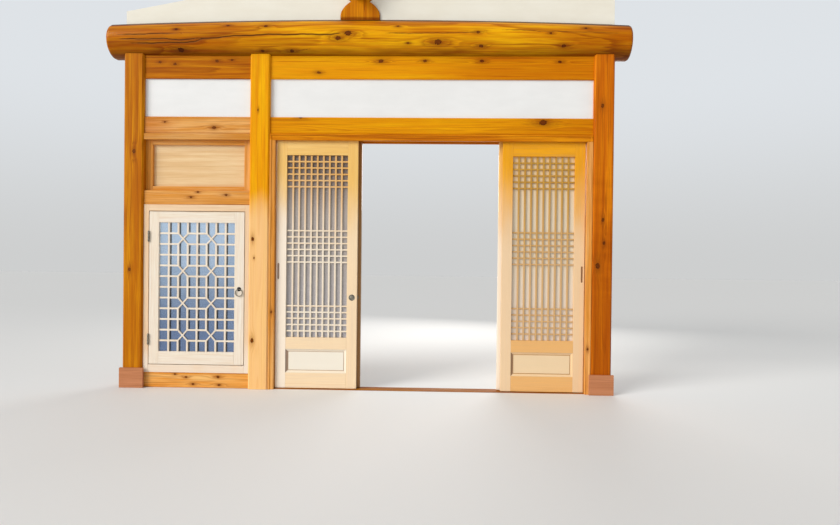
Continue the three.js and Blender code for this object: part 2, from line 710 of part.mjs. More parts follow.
// Frame and panel of a sliding leaf, drawn round its own centre line in Y.
function leafFrame(x0, y, lead) {
  const x1 = x0 + LEAF_WIDTH;
  const half = LEAF_THICK / 2;
  const panelZ0 = LEAF_BOTTOM + LEAF_BOTTOM_RAIL;
  const panelZ1 = panelZ0 + LEAF_PANEL;
  const lightZ0 = panelZ1 + LEAF_MIDDLE_RAIL;
  const lightZ1 = LEAF_TOP - LEAF_TOP_RAIL;
  const inner0 = x0 + LEAF_STILE;
  const inner1 = x1 - LEAF_STILE;
  const shape = rectangle(new THREE.Shape(), x0, x1, LEAF_BOTTOM, LEAF_TOP);
  shape.holes.push(rectangle(new THREE.Path(), inner0, inner1, lightZ0, lightZ1));
  const jambEdge = lead > 0 ? x0 + SLOT_PULL_INSET : x1 - SLOT_PULL_INSET;
  const leadStile = x1 - LEAF_STILE / 2;
  const spread = (OVERRUN * PANEL_SLOPE) / PANEL_SUNK;
  const cutters = [];
  for (const side of [-1, 1]) {
    const face = y + side * half;
    cutters.push(slopedRecess(
      inner0 - spread, inner1 + spread, panelZ0 - spread, panelZ1 + spread,
      face + side * OVERRUN, face - side * PANEL_SUNK, PANEL_SLOPE + spread,
    ));
    const pullY0 = side < 0 ? face - OVERRUN : face - PULL_DEPTH;
    const pullY1 = side < 0 ? face + PULL_DEPTH : face + OVERRUN;
    cutters.push(slotCutter(jambEdge, SLOT_PULL_Z, pullY0, pullY1));
    if (lead > 0) {
      cutters.push(roundBar(
        ROUND_PULL_RADIUS, pullY1 - pullY0, PULL_SIDES, 'y',
        leadStile, (pullY0 + pullY1) / 2, ROUND_PULL_Z,
      ));
    }
  }
  return surface(carved(solid(plate(shape, y - half, y + half)), cutters));
}

// Lattice of a sliding leaf: evenly spaced uprights and groups of cross bars.
function leafLattice(x0, y) {
  const left = x0 + LEAF_STILE + SCRIBE_GAP;
  const right = x0 + LEAF_WIDTH - LEAF_STILE - SCRIBE_GAP;
  const low = LEAF_BOTTOM + LEAF_BOTTOM_RAIL + LEAF_PANEL + LEAF_MIDDLE_RAIL + SCRIBE_GAP;
  const high = LEAF_TOP - LEAF_TOP_RAIL - SCRIBE_GAP;
  const pitch = (right - left) / LATTICE_COLUMNS;
  const unit = (high - low) / LATTICE_UNITS;
  const y0 = y + LATTICE_FRONT;
  const y1 = y0 + LATTICE_DEPTH;
  const bars = [];
  for (let column = 1; column < LATTICE_COLUMNS; column += 1) {
    const x = left + column * pitch;
    bars.push(bar(x, low, x, high, LATTICE_BAR, y0, y1));
  }
  for (const row of CROSS_ROWS) {
    const z = low + row * unit;
    bars.push(bar(left, z, right, z, LATTICE_CROSS_BAR, y0, y1));
  }
  return surface(joined(bars));
}

// Frosted pane behind the lattice of a sliding leaf.
function leafPane(x0, y) {
  const low = LEAF_BOTTOM + LEAF_BOTTOM_RAIL + LEAF_PANEL + LEAF_MIDDLE_RAIL + SCRIBE_GAP;
  const high = LEAF_TOP - LEAF_TOP_RAIL - SCRIBE_GAP;
  const front = y + LATTICE_FRONT + LATTICE_DEPTH + SCRIBE_GAP;
  return block(
    x0 + LEAF_STILE + SCRIBE_GAP, x0 + LEAF_WIDTH - LEAF_STILE - SCRIBE_GAP,
    front, front + PANE_THICK, low, high,
  );
}

// The four leaves stand open, stacked in pairs beside the two jambs.
function addSlidingLeaves() {
  const openLeft = DOORWAY_X0 + JAMB_WIDTH + DOOR_CLEAR;
  const openRight = DOORWAY_X1 - JAMB_WIDTH - DOOR_CLEAR - LEAF_WIDTH;
  const leaves = [
    ['front_left', openLeft, FRONT_TRACK_Y, 1],
    ['front_right', openRight, FRONT_TRACK_Y, -1],
    ['rear_left', openLeft + REAR_OFFSET, -FRONT_TRACK_Y, 1],
    ['rear_right', openRight - REAR_OFFSET, -FRONT_TRACK_Y, -1],
  ];
  for (const [name, x0, y, lead] of leaves) {
    piece(`${name}_leaf_frame`, leafFrame(x0, y, lead), 'palePine');
    piece(`${name}_leaf_lattice`, leafLattice(x0, y), 'palePine');
    piece(`${name}_leaf_pane`, leafPane(x0, y), 'frosted');
  }
}

piece('girder', girderGeometry(), 'amberPine');
addPosts();
addFootCasings();
addRidge();
addGable();
addUpperWall();
addNarrowBay();
addSmallDoor();
addSmallDoorHardware();
addDoorway();
addSlidingLeaves();

export default wall;
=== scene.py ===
# %% [markdown]
# The object is the end wall of a Korean timber-framed room. Square posts carry a
# round log girder, a carved king post stands on the girder, and sliding lattice
# leaves close a wide doorway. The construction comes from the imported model, and
# this script only adds what the eye sees: finer shapes, grain, varnish and light.
# The frame is loaded first, because every later step asks it where a piece is.

import math
import random

import bmesh
import bpy
from mathutils import Matrix, Vector


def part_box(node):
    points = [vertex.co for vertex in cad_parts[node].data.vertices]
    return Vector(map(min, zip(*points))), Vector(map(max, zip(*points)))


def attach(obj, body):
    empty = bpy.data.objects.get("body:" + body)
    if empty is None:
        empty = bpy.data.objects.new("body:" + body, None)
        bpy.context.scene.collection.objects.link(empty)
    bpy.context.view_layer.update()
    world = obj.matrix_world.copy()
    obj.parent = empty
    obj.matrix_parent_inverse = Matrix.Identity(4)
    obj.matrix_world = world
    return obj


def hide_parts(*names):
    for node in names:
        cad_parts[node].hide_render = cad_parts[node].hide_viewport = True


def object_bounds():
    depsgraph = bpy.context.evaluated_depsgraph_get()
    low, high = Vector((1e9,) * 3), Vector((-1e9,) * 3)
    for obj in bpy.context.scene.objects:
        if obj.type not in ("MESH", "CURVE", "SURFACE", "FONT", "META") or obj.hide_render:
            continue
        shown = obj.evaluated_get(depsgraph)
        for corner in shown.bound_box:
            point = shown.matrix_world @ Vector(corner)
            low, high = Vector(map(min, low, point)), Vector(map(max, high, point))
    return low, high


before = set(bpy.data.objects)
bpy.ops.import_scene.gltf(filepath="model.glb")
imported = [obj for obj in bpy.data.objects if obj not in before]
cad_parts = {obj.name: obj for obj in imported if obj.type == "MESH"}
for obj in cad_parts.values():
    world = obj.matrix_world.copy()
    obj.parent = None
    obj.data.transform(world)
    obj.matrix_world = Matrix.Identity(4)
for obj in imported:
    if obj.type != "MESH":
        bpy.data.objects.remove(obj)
cad_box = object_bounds()
scene = bpy.context.scene
print("model box", [round(value, 3) for corner in cad_box for value in corner])

# %% [markdown]
# The camera stands at the photograph's own viewpoint: in the middle of the room,
# at chest height, turned a little to the left. Its place could be tried by eye,
# but fitting it to the corners of posts and door leaves gives it to a centimetre.
# The three angles turn a camera that first looks straight at the wall.

# %% Camera at the photograph's place
PHOTO_WIDTH = 840
FOCAL_PIXELS = 583.0
SENSOR_WIDTH = 36.0
CAMERA_PLACE = Vector((0.5547, -4.7071, 1.0657))
TURN_LEFT, TILT_UP, ROLL = (math.radians(angle) for angle in (1.451, -0.428, -0.635))


def camera_matrix():
    ahead = Vector((
        -math.sin(TURN_LEFT) * math.cos(TILT_UP),
        math.cos(TURN_LEFT) * math.cos(TILT_UP),
        math.sin(TILT_UP),
    ))
    level = Vector((math.cos(TURN_LEFT), math.sin(TURN_LEFT), 0.0))
    above = level.cross(ahead)
    right = level * math.cos(ROLL) - above * math.sin(ROLL)
    up = level * math.sin(ROLL) + above * math.cos(ROLL)
    turned = Matrix((right, up, -ahead)).transposed().to_4x4()
    return Matrix.Translation(CAMERA_PLACE) @ turned


def in_scene(name, data):
    thing = bpy.data.objects.new(name, data)
    scene.collection.objects.link(thing)
    return thing


camera_data = bpy.data.cameras.new("room_camera")
camera_data.sensor_width = SENSOR_WIDTH
camera_data.lens = FOCAL_PIXELS / PHOTO_WIDTH * SENSOR_WIDTH
camera = in_scene("room_camera", camera_data)
camera.matrix_world = camera_matrix()
scene.camera = camera
print("lens", round(camera_data.lens, 2), "mm")

# %% [markdown]
# A material in Blender is a graph of small nodes. Writing each node out takes
# many lines, so short helpers place a node, set its options and fill its sockets.
# A value that is a socket is linked, and any other value is typed in.

# %% Helpers that place a node


def fill(node, inputs):
    for key, value in inputs.items():
        if isinstance(value, bpy.types.NodeSocket):
            node.id_data.links.new(value, node.inputs[key])
        else:
            node.inputs[key].default_value = value


def place(tree, kind, inputs=None, **settings):
    """Adds a node and gives back its outputs."""
    node = tree.nodes.new(kind)
    for key, value in settings.items():
        setattr(node, key, value)
    fill(node, inputs or {})
    return node.outputs


def calc(tree, operation, *values, clamp=False):
    return place(tree, "ShaderNodeMath", dict(enumerate(values)), operation=operation, use_clamp=clamp)[0]


def vector_calc(tree, operation, *values):
    return place(tree, "ShaderNodeVectorMath", dict(enumerate(values)), operation=operation)[0]


def length(tree, vector):
    return place(tree, "ShaderNodeVectorMath", {0: vector}, operation="LENGTH")["Value"]


print("node helpers ready")

# %% [markdown]
# Each kind of node that is used often gets a helper of its own, which gives back
# its result: a range carried over to another, a mix of two colours, a noise, and
# the values that a material reads from its object and its mesh.

# %% Helpers for ranges, colours and noise


def span(tree, value, low, high, to_low=0.0, to_high=1.0, smooth=True):
    """Carries the range low to high over to another range, with soft ends."""
    inputs = {"Value": value, "From Min": low, "From Max": high, "To Min": to_low, "To Max": to_high}
    kind = "SMOOTHSTEP" if smooth else "LINEAR"
    return place(tree, "ShaderNodeMapRange", inputs, interpolation_type=kind)["Result"]


def blend(tree, amount, first, second, mode="MIX"):
    inputs = {0: amount, 6: first, 7: second}
    return place(tree, "ShaderNodeMix", inputs, data_type="RGBA", blend_type=mode)[2]


def noise(tree, vector, scale, detail=2.0, roughness=0.5):
    """A noise; a scale of three numbers stretches it, with finer marks where one is larger."""
    if isinstance(scale, tuple):
        vector, scale = vector_calc(tree, "MULTIPLY", vector, scale), 1.0
    inputs = {"Vector": vector, "Scale": scale, "Detail": detail, "Roughness": roughness}
    return place(tree, "ShaderNodeTexNoise", inputs)


def waver(tree, *settings):
    """A noise that strays below nought as far as above it."""
    return calc(tree, "SUBTRACT", noise(tree, *settings)["Fac"], 0.5)


def object_place(tree):
    return place(tree, "ShaderNodeTexCoord")["Object"]


def parts_of(tree, vector):
    return place(tree, "ShaderNodeSeparateXYZ", {0: vector})


def mesh_value(tree, name, output="Fac"):
    return place(tree, "ShaderNodeAttribute", attribute_name=name)[output]


print("shader helpers ready")

# %% [markdown]
# An effect that several materials share is a node group: it is built once, and
# each material places it with values of its own. Its sockets follow from the
# values that they start with: one number, three for a vector, four for a colour.

# %% Helpers for node groups
SOCKET_KINDS = {1: "NodeSocketFloat", 3: "NodeSocketVector", 4: "NodeSocketColor"}
WHITE = (1, 1, 1, 1)
NOWHERE = (0, 0, 0)


def make_group(name, inputs, outputs, build):
    """Makes a group; build gives the socket for each output, of which only Color is a colour."""
    tree = bpy.data.node_groups.new(name, "ShaderNodeTree")
    for label, value in inputs.items():
        kind = SOCKET_KINDS[len(value) if isinstance(value, tuple) else 1]
        tree.interface.new_socket(name=label, in_out="INPUT", socket_type=kind).default_value = value
    for label in outputs:
        kind = SOCKET_KINDS[4 if label == "Color" else 1]
        tree.interface.new_socket(name=label, in_out="OUTPUT", socket_type=kind)
    given, result = tree.nodes.new("NodeGroupInput").outputs, tree.nodes.new("NodeGroupOutput")
    fill(result, build(tree, given))
    print("group", name, len(tree.nodes), "nodes")
    return tree


def use_group(tree, group, inputs):
    return place(tree, "ShaderNodeGroup", inputs, node_tree=group)


# %% [markdown]
# Pine is a solid texture: the growth rings are tubes round the heart of the
# tree, and a sawn face only shows where it cuts them. So the pattern is worked
# out in grain space, where X runs along the trunk and the heart lies on the X
# axis. A slow noise bends the tubes, which gives the arches on flat-sawn faces.
# Streaks, thin dark threads, clouds of resin and fine fibres are noises stretched
# along the trunk.

# %% Group: figure of pine
BEND_STRETCH, RAGGED_STRETCH, RAGGED_SHARE = (0.55, 4.5, 4.5), (2.0, 60.0, 60.0), 0.7
YEAR_STOPS = ((0.5, 0.12), (0.85, 1.0), (0.94, 0.7))
FIBRE = ((7.0, 260.0, 260.0), 3.0, 0.6)
MARKS = {
    # name: (stretch along and across the trunk, detail, roughness, where it begins and is full)
    "Streaks": ((1.6, 34.0, 34.0), 3.0, 0.6, (0.32, 0.68)),
    "Threads": ((1.1, 85.0, 85.0), 2.0, 0.5, (0.56, 0.72)),
    "Clouds": ((1.1, 9.0, 9.0), 2.0, 0.5, (0.36, 0.64)),
}


def ring_profile(tree, share):
    """Grey across one year: pale early wood, then dark late wood with a sharp end."""
    ramp = tree.nodes.new("ShaderNodeValToRGB")
    fill(ramp, {"Fac": share})
    stops = ramp.color_ramp.elements
    for stop in stops:
        stop.color = (0, 0, 0, 1)
    for position, grey in YEAR_STOPS:
        stops.new(position).color = (grey, grey, grey, 1)
    return ramp.outputs["Color"]


def build_figure(tree, given):
    vector, push = given["Vector"], given["Push"]
    bend = vector_calc(tree, "SUBTRACT", noise(tree, vector, BEND_STRETCH)["Color"], (0.5, 0.5, 0.5))
    bend = place(tree, "ShaderNodeVectorMath", {0: bend, "Scale": given["Wobble"]}, operation="SCALE")[0]
    trunk = vector_calc(tree, "ADD", vector, bend)
    radius = length(tree, vector_calc(tree, "MULTIPLY", trunk, (0.0, 1.0, 1.0)))
    rings = calc(tree, "DIVIDE", calc(tree, "ADD", radius, push), given["Ring Spacing"])
    ragged = noise(tree, vector, RAGGED_STRETCH, 1.0)["Fac"]
    rings = calc(tree, "MULTIPLY_ADD", ragged, RAGGED_SHARE, rings)
    year = place(tree, "ShaderNodeTexWhiteNoise", {"W": calc(tree, "FLOOR", rings)}, noise_dimensions="1D")
    strength = span(tree, year["Value"], 0.0, 1.0, 0.3, 1.0, smooth=False)
    late_wood = calc(tree, "MULTIPLY", ring_profile(tree, calc(tree, "FRACT", rings)), strength)
    swerve = vector_calc(tree, "ADD", vector, place(tree, "ShaderNodeCombineXYZ", {1: push})[0])
    fibre = noise(tree, swerve, *FIBRE)["Fac"]
    height = calc(tree, "MULTIPLY_ADD", fibre, 0.6, calc(tree, "MULTIPLY", late_wood, 0.4))
    marks = {"Rings": late_wood, "Fibre": fibre, "Height": height}
    for name, (*settings, limits) in MARKS.items():
        marks[name] = span(tree, noise(tree, swerve, *settings)["Fac"], *limits)
    return marks


FIGURE = make_group(
    "pine_figure", {"Vector": NOWHERE, "Push": 0.0, "Ring Spacing": 0.0045, "Wobble": 0.03},
    ["Rings", "Fibre", "Height", *MARKS], build_figure,
)

# %% [markdown]
# A knot is a branch that the trunk grew round. The rings swerve past it, so the
# group pushes the ring field outward in a long oval, and it also measures how
# deep a point lies inside the branch. Groups for several knots are chained, each
# adding to what the one before gives, so a beam can have as many as it needs.

# %% Group: one knot
KNOT_FIELDS = ("Push", "Core", "Halo")
CORE_OVAL, SWELL_OVAL, RESIN_OVAL = 0.72, 0.3, 0.4
SWELL_REACH, SWELL_PUSH, RESIN_REACH = 1.6, 0.8, 1.7
RAGGED_SCALE, RAGGED_BARK = 110.0, 1.2


def oval(tree, from_centre, along):
    return length(tree, vector_calc(tree, "MULTIPLY", from_centre, (along, 1.0, 1.0)))


def fading(tree, distance, reach):
    share = calc(tree, "POWER", calc(tree, "DIVIDE", distance, reach), 2.0)
    return calc(tree, "EXPONENT", calc(tree, "MULTIPLY", share, -1.0))


def build_knot(tree, given):
    radius = given["Radius"]
    from_centre = vector_calc(tree, "SUBTRACT", given["Vector"], given["Centre"])
    share = calc(tree, "DIVIDE", oval(tree, from_centre, CORE_OVAL), radius)
    uneven = waver(tree, given["Vector"], RAGGED_SCALE)
    ragged = calc(tree, "MULTIPLY_ADD", uneven, RAGGED_BARK, share)
    core = calc(tree, "SUBTRACT", 1.0, ragged, clamp=True)
    swell, resin = (
        fading(tree, oval(tree, from_centre, along), calc(tree, "MULTIPLY", radius, reach))
        for along, reach in ((SWELL_OVAL, SWELL_REACH), (RESIN_OVAL, RESIN_REACH))
    )
    push = calc(tree, "MULTIPLY", swell, calc(tree, "MULTIPLY", radius, SWELL_PUSH))
    return {
        "Push": calc(tree, "ADD", given["Push"], push),
        "Core": calc(tree, "MAXIMUM", given["Core"], core),
        "Halo": calc(tree, "MAXIMUM", given["Halo"], resin),
    }


KNOT = make_group(
    "pine_knot",
    {"Vector": NOWHERE, "Centre": NOWHERE, "Radius": 0.012, **dict.fromkeys(KNOT_FIELDS, 0.0)},
    KNOT_FIELDS, build_knot,
)

# %% [markdown]
# All the wood is dressed by one rule, so it is a group too: a light and a dark
# body colour mixed by streaks and clouds, brown late wood on the rings, and dark
# resin round the knots. Inside a knot thin rings go round its own heart, and its
# rim is bark, almost black. The fibres also make the varnish a little uneven.
# The layers are laid one over the other, each by its own share.

# %% Group: colour of varnished pine
KNOT_RINGS, UNEVEN_GLOSS = 26.0, 0.22


def build_varnish(tree, given):
    wave = calc(tree, "SINE", calc(tree, "MULTIPLY", given["Core"], KNOT_RINGS))
    heart = blend(tree, span(tree, wave, -1.0, 1.0, 0.15, 0.75), given["Knot"], given["Bark"])
    heart = blend(tree, span(tree, given["Core"], 0.15, 0.5, 0.8, 0.0), heart, given["Bark"])
    resin = span(tree, given["Fibre"], 0.3, 0.7, 0.5, 1.0)
    colour = given["Light"]
    for share, layer in (
        (given["Streaks"], given["Dark"]),
        (calc(tree, "MULTIPLY", given["Clouds"], given["Cloud Share"]), given["Dark"]),
        (given["Tone"], given["Dark"]),
        (calc(tree, "MULTIPLY", given["Rings"], given["Ring Share"]), given["Late Wood"]),
        (calc(tree, "MULTIPLY", given["Threads"], given["Ring Share"]), given["Late Wood"]),
        (span(tree, given["Fibre"], 0.35, 0.75, 0.0, 0.3, smooth=False), given["Late Wood"]),
        (calc(tree, "MULTIPLY", given["Halo"], resin), given["Knot"]),
        (span(tree, given["Core"], 0.0, 0.2), heart),
    ):
        colour = blend(tree, share, colour, layer)
    roughness = calc(tree, "MULTIPLY_ADD", given["Fibre"], UNEVEN_GLOSS, given["Gloss"])
    return {"Color": colour, "Roughness": roughness}


VARNISH = make_group(
    "varnished_pine",
    {
        "Rings": 0.0, "Streaks": 0.0, "Threads": 0.0, "Clouds": 0.0, "Fibre": 0.5, "Core": 0.0,
        "Halo": 0.0, "Tone": 0.0, "Light": WHITE, "Dark": WHITE, "Late Wood": WHITE, "Knot": WHITE,
        "Bark": WHITE, "Ring Share": 0.5, "Cloud Share": 0.5, "Gloss": 0.3,
    },
    ["Color", "Roughness"], build_varnish,
)

# %% [markdown]
# This group paints light: wood is painted paler from the floor up, as the low
# daylight and the floor light it, less under the lintel. It fades a colour to a
# paler one below a wavy level, but late wood and knots keep more of their colour,
# so the figure stays. The sunken panels are thin boards of a whiter wood, so a
# value in the mesh picks them out. It is used on the door leaves, whose foot is
# painted nearly white while their top is still golden, on the small door's casing
# and on the middle post.

# %% Group: painted light towards the foot
LEVEL_STRETCH, LEVEL_WAVE = (3.5, 1.0, 1.2), 0.7
TONE_HOLDS, RINGS_HOLD, RESIN_HOLDS = 0.9, 0.35, 0.6
PANEL_WHITENESS = 0.8


def build_bleach(tree, given):
    height = parts_of(tree, given["Vector"])["Z"]
    wave = waver(tree, given["Vector"], LEVEL_STRETCH)
    height = calc(tree, "MULTIPLY_ADD", wave, LEVEL_WAVE, height)
    resin = calc(tree, "MULTIPLY", given["Halo"], RESIN_HOLDS)
    knot = calc(tree, "MAXIMUM", span(tree, given["Core"], 0.0, 0.1), resin)
    share = span(tree, height, given["Low"], given["High"], given["Share"], 0.0)
    for left_over in (
        calc(tree, "MULTIPLY_ADD", given["Tone"], -TONE_HOLDS, 1.0),
        calc(tree, "MULTIPLY_ADD", given["Rings"], -RINGS_HOLD, 1.0),
        calc(tree, "SUBTRACT", 1.0, knot),
    ):
        share = calc(tree, "MULTIPLY", share, left_over)
    colour = blend(tree, share, given["Color"], given["Pale"])
    whiter = calc(tree, "MULTIPLY", given["Panel"], PANEL_WHITENESS)
    return {"Color": blend(tree, whiter, colour, given["Panel Color"])}


BLEACH = make_group(
    "sun_bleach",
    {
        "Color": WHITE, "Pale": WHITE, "Vector": NOWHERE, "Low": 0.0, "High": 2.0, "Share": 0.8,
        "Tone": 0.0, "Rings": 0.0, "Core": 0.0, "Halo": 0.0, "Panel": 0.0, "Panel Color": WHITE,
    },
    ["Color"], build_bleach,
)

# %% [markdown]
# A long timber is never one colour, and some are darker at their ends or their foot.
# One group multiplies the colour by a tint away from a middle place along the wall,
# and by another tint below a level, both with a wavy limit. It also paints shade:
# under the girder, at the foot of the king post and on the rear left leaf.

# %% Group: shading by place
FAR_OFF = 90.0
BELOW_ALL = (-8.0, -9.0)
LIMIT_STRETCH, LEVEL_UNEVEN, FULL_AT_REACHES = (1.6, 7.0, 7.0), 1.5, 2.2


def build_place_shade(tree, given):
    parts = parts_of(tree, given["Vector"])
    uneven = waver(tree, given["Vector"], LIMIT_STRETCH, 3.0, 0.6)
    away = calc(tree, "ABSOLUTE", calc(tree, "SUBTRACT", parts["X"], given["Centre"]))
    away = calc(tree, "ADD", calc(tree, "DIVIDE", away, given["Reach"]), uneven)
    height = calc(tree, "SUBTRACT", parts["Z"], given["Low"])
    height = calc(tree, "DIVIDE", height, calc(tree, "SUBTRACT", given["High"], given["Low"]))
    height = calc(tree, "MULTIPLY_ADD", uneven, LEVEL_UNEVEN, height)
    colour = given["Color"]
    for share, tint in (
        (span(tree, away, 1.0, FULL_AT_REACHES), given["Far Tint"]),
        (span(tree, height, 0.0, 1.0, 1.0, 0.0), given["Low Tint"]),
    ):
        colour = blend(tree, share, colour, blend(tree, 1.0, colour, tint, "MULTIPLY"))
    return {"Color": colour}


PLACE_SHADE = make_group(
    "place_shading",
    {
        "Color": WHITE, "Vector": NOWHERE, "Centre": 0.0, "Reach": FAR_OFF, "Far Tint": WHITE,
        "High": BELOW_ALL[0], "Low": BELOW_ALL[1], "Low Tint": WHITE,
    },
    ["Color"], build_place_shade,
)

# %% [markdown]
# Drying checks are painted from two values kept in a mesh: how deep a place lies
# in the crack, and how near it is to one. The crack is painted nearly black: painted
# shade. Wood beside a check is stained brown. The same two values also carry painted
# shade: the girder's line under the plaster, and the grooves, left slopes and pull
# recesses of the leaves.
# These two groups are added to a finished material, between its colour and the
# shader, so that only the pieces that need them pay for them.

# %% Group: drying checks and painted shade
# Brown for stains and painted shade, and nearly black for the painted shade inside a crack.
CHECK_COLOURS = {"Stain Color": (0.20, 0.06, 0.01, 1), "Depth Color": (0.025, 0.008, 0.003, 1)}
STAIN_POWER, STAIN_SHARE, CRACK_FROM, CRACK_FULL = 3.0, 0.7, 0.05, 0.6


def build_check_paint(tree, given):
    share = calc(tree, "MULTIPLY", calc(tree, "POWER", given["Stain"], STAIN_POWER), STAIN_SHARE)
    stained = blend(tree, share, given["Color"], given["Stain Color"])
    crack = span(tree, given["Check"], CRACK_FROM, CRACK_FULL)
    return {"Color": blend(tree, crack, stained, given["Depth Color"])}


CHECK_PAINT = make_group(
    "drying_checks",
    {"Color": WHITE, "Check": 0.0, "Stain": 0.0, "Stain Color": WHITE, "Depth Color": WHITE},
    ["Color"], build_check_paint,
)


def repaint(material, group, inputs):
    base = material.node_tree.nodes["Principled BSDF"].inputs["Base Color"]
    painted = use_group(material.node_tree, group, {**inputs, "Color": base.links[0].from_socket})
    material.node_tree.links.new(painted["Color"], base)


def shade_by_place(material, along=None, level=None):
    """Tints a material away from (place, reach, tint) and below (high, low, tint)."""
    inputs = {"Vector": object_place(material.node_tree)}
    inputs.update(zip(("Centre", "Reach", "Far Tint"), along or ()))
    inputs.update(zip(("High", "Low", "Low Tint"), level or ()))
    repaint(material, PLACE_SHADE, inputs)


def paint_checks(material):
    marks = {key: mesh_value(material.node_tree, key.lower()) for key in ("Check", "Stain")}
    repaint(material, CHECK_PAINT, {**CHECK_COLOURS, **marks})


# %% [markdown]
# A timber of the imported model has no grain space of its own, so it is worked out
# from its place, turned so that the grain runs along the timber. The heart of the
# tree lies a few centimetres beside its middle line, as in timber sawn from a log.

# %% Grain space of a timber
GRAIN_AXES = {"X": (0, 1, 2), "Y": (1, 0, 2), "Z": (2, 0, 1)}
HEART_AWAY = 0.05
TRUNK_LENGTH = 40


def grain_from_place(tree, node_name, axis, rng):
    """The grain space of a timber, as a socket and as a function of a place."""
    low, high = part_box(node_name)
    middle = (low + high) / 2
    order = GRAIN_AXES[axis]
    heart = [rng.uniform(-1, 1) * HEART_AWAY for side in range(2)]
    start = rng.uniform(0, TRUNK_LENGTH)
    move = Vector((start, heart[0] - middle[order[1]], heart[1] - middle[order[2]]))
    parts = parts_of(tree, object_place(tree))
    turned = place(tree, "ShaderNodeCombineXYZ", {i: parts[a] for i, a in enumerate(order)})[0]
    return vector_calc(tree, "ADD", turned, move), lambda p: Vector([p[a] for a in order]) + move


print("grain can run along", *GRAIN_AXES)

# %% [markdown]
# Every finish starts as a new material, with a node tree and one principled
# shader. Relief finer than a millimetre isn't modelled: a bump turns the light on
# the face as if it were there.

# %% New materials and their relief


def new_material(name):
    material = bpy.data.materials.new(name)
    material.use_nodes = True
    tree = material.node_tree
    return material, tree, tree.nodes["Principled BSDF"]


def bump(tree, height, strength, distance):
    inputs = {"Height": height, "Strength": strength, "Distance": distance}
    return place(tree, "ShaderNodeBump", inputs)["Normal"]


print("material helpers ready")

# %% [markdown]
# One function now dresses any pine piece. A timber of the model takes its grain
# space from its place. A piece built below carries it as an attribute named
# grain, and a shade for each stick named tone. Fibres and late wood stand a
# little proud under the varnish, so they are also a bump.

# %% Pine finish
GRAIN_RELIEF, GRAIN_DEPTH = 0.4, 0.0007
VARNISH_COAT_ROUGHNESS = 0.1


def pine(name, look, knots=(), node_name=None, axis="X", seed=1):
    """A finish from a look; knots are (x, y, z, radius)."""
    material, tree, shader = new_material(name)
    if node_name:
        grain, to_grain = grain_from_place(tree, node_name, axis, random.Random(seed))
        tone = 0.0
    else:
        grain, to_grain = mesh_value(tree, "grain", "Vector"), Vector
        tone = calc(tree, "MULTIPLY", mesh_value(tree, "tone"), look["tone"])
    field = dict.fromkeys(KNOT_FIELDS, 0.0)
    for *centre, radius in knots:
        so_far = {key: field[key] for key in KNOT_FIELDS}
        branch = {"Vector": grain, "Centre": to_grain(centre), "Radius": radius}
        field = use_group(tree, KNOT, {**branch, **so_far})
    figure = use_group(tree, FIGURE, {
        "Vector": grain, "Push": field["Push"], "Ring Spacing": look["spacing"], "Wobble": look["wobble"],
    })
    held = {"Rings": figure["Rings"], "Core": field["Core"], "Halo": field["Halo"], "Tone": tone}
    varnish = use_group(tree, VARNISH, {
        **held, **{key: figure[key] for key in ("Fibre", *MARKS)},
        "Light": look["light"], "Dark": look["dark"], "Late Wood": look["late"],
        "Knot": look["knot"], "Bark": look["bark"],
        "Ring Share": look["rings"], "Cloud Share": look["clouds"], "Gloss": look["gloss"],
    })
    colour = varnish["Color"]
    if "bleach" in look:
        settings = dict(zip(("Low", "High", "Share", "Pale", "Panel Color"), look["bleach"]))
        here = {"Color": colour, "Vector": object_place(tree), "Panel": mesh_value(tree, "panel")}
        colour = use_group(tree, BLEACH, {**here, **settings, **held})["Color"]
    fill(shader, {
        "Base Color": colour, "Roughness": varnish["Roughness"],
        "Normal": bump(tree, figure["Height"], GRAIN_RELIEF, GRAIN_DEPTH),
        "Specular IOR Level": look["shine"], "Specular Tint": look["shine_tint"],
        "Coat Weight": look["coat"], "Coat Roughness": VARNISH_COAT_ROUGHNESS,
    })
    return material


print("pine finish ready")

# %% [markdown]
# The wood of this room differs in age and polish, so six looks hold its colours.
# Amber is the old varnish of the main timbers, and golden, russet, honey and blond
# start from it: blond is the small door's casing. Pale is new joiner's pine. A look
# with painted light towards its foot gives the level where that begins and ends,
# its share, the pale colour, and the colour of sunken panels.

# %% Looks of pine
AMBER = {
    "light": (0.86, 0.34, 0.006, 1), "dark": (0.56, 0.155, 0.003, 1), "late": (0.30, 0.06, 0.002, 1),
    "knot": (0.27, 0.060, 0.004, 1), "bark": (0.040, 0.009, 0.003, 1),
    "spacing": 0.006, "wobble": 0.05, "rings": 0.6, "clouds": 0.6, "tone": 0.5, "gloss": 0.26,
    "shine": 0.14, "shine_tint": (1.0, 0.62, 0.22, 1), "coat": 0.04,
}
GOLDEN = {
    **AMBER, "light": (0.98, 0.49, 0.004, 1), "dark": (0.87, 0.34, 0.003, 1),
    "late": (0.46, 0.11, 0.002, 1),
}
RUSSET = {
    **AMBER, "light": (0.80, 0.26, 0.005, 1), "dark": (0.56, 0.13, 0.003, 1),
    "late": (0.26, 0.045, 0.002, 1),
}
HONEY = {
    **AMBER, "light": (0.93, 0.52, 0.18, 1), "dark": (0.75, 0.30, 0.04, 1), "rings": 0.42, "coat": 0.12,
}
BLOND = {
    **AMBER, "light": (0.88, 0.70, 0.50, 1), "dark": (0.84, 0.60, 0.38, 1),
    "late": (0.60, 0.32, 0.14, 1), "rings": 0.3,
    "bleach": (0.16, 0.40, 0.8, (0.86, 0.79, 0.70, 1), WHITE),
}
PALE = {
    "light": (0.86, 0.64, 0.36, 1), "dark": (0.76, 0.50, 0.24, 1), "late": (0.56, 0.28, 0.09, 1),
    "knot": (0.42, 0.19, 0.06, 1), "bark": (0.12, 0.05, 0.02, 1),
    "spacing": 0.0035, "wobble": 0.03, "rings": 0.3, "clouds": 0.3, "tone": 0.6, "gloss": 0.3,
    "shine": 0.3, "shine_tint": (1.0, 0.95, 0.88, 1), "coat": 0.06,
}
print("pine looks: amber, golden, russet, honey, blond, pale")
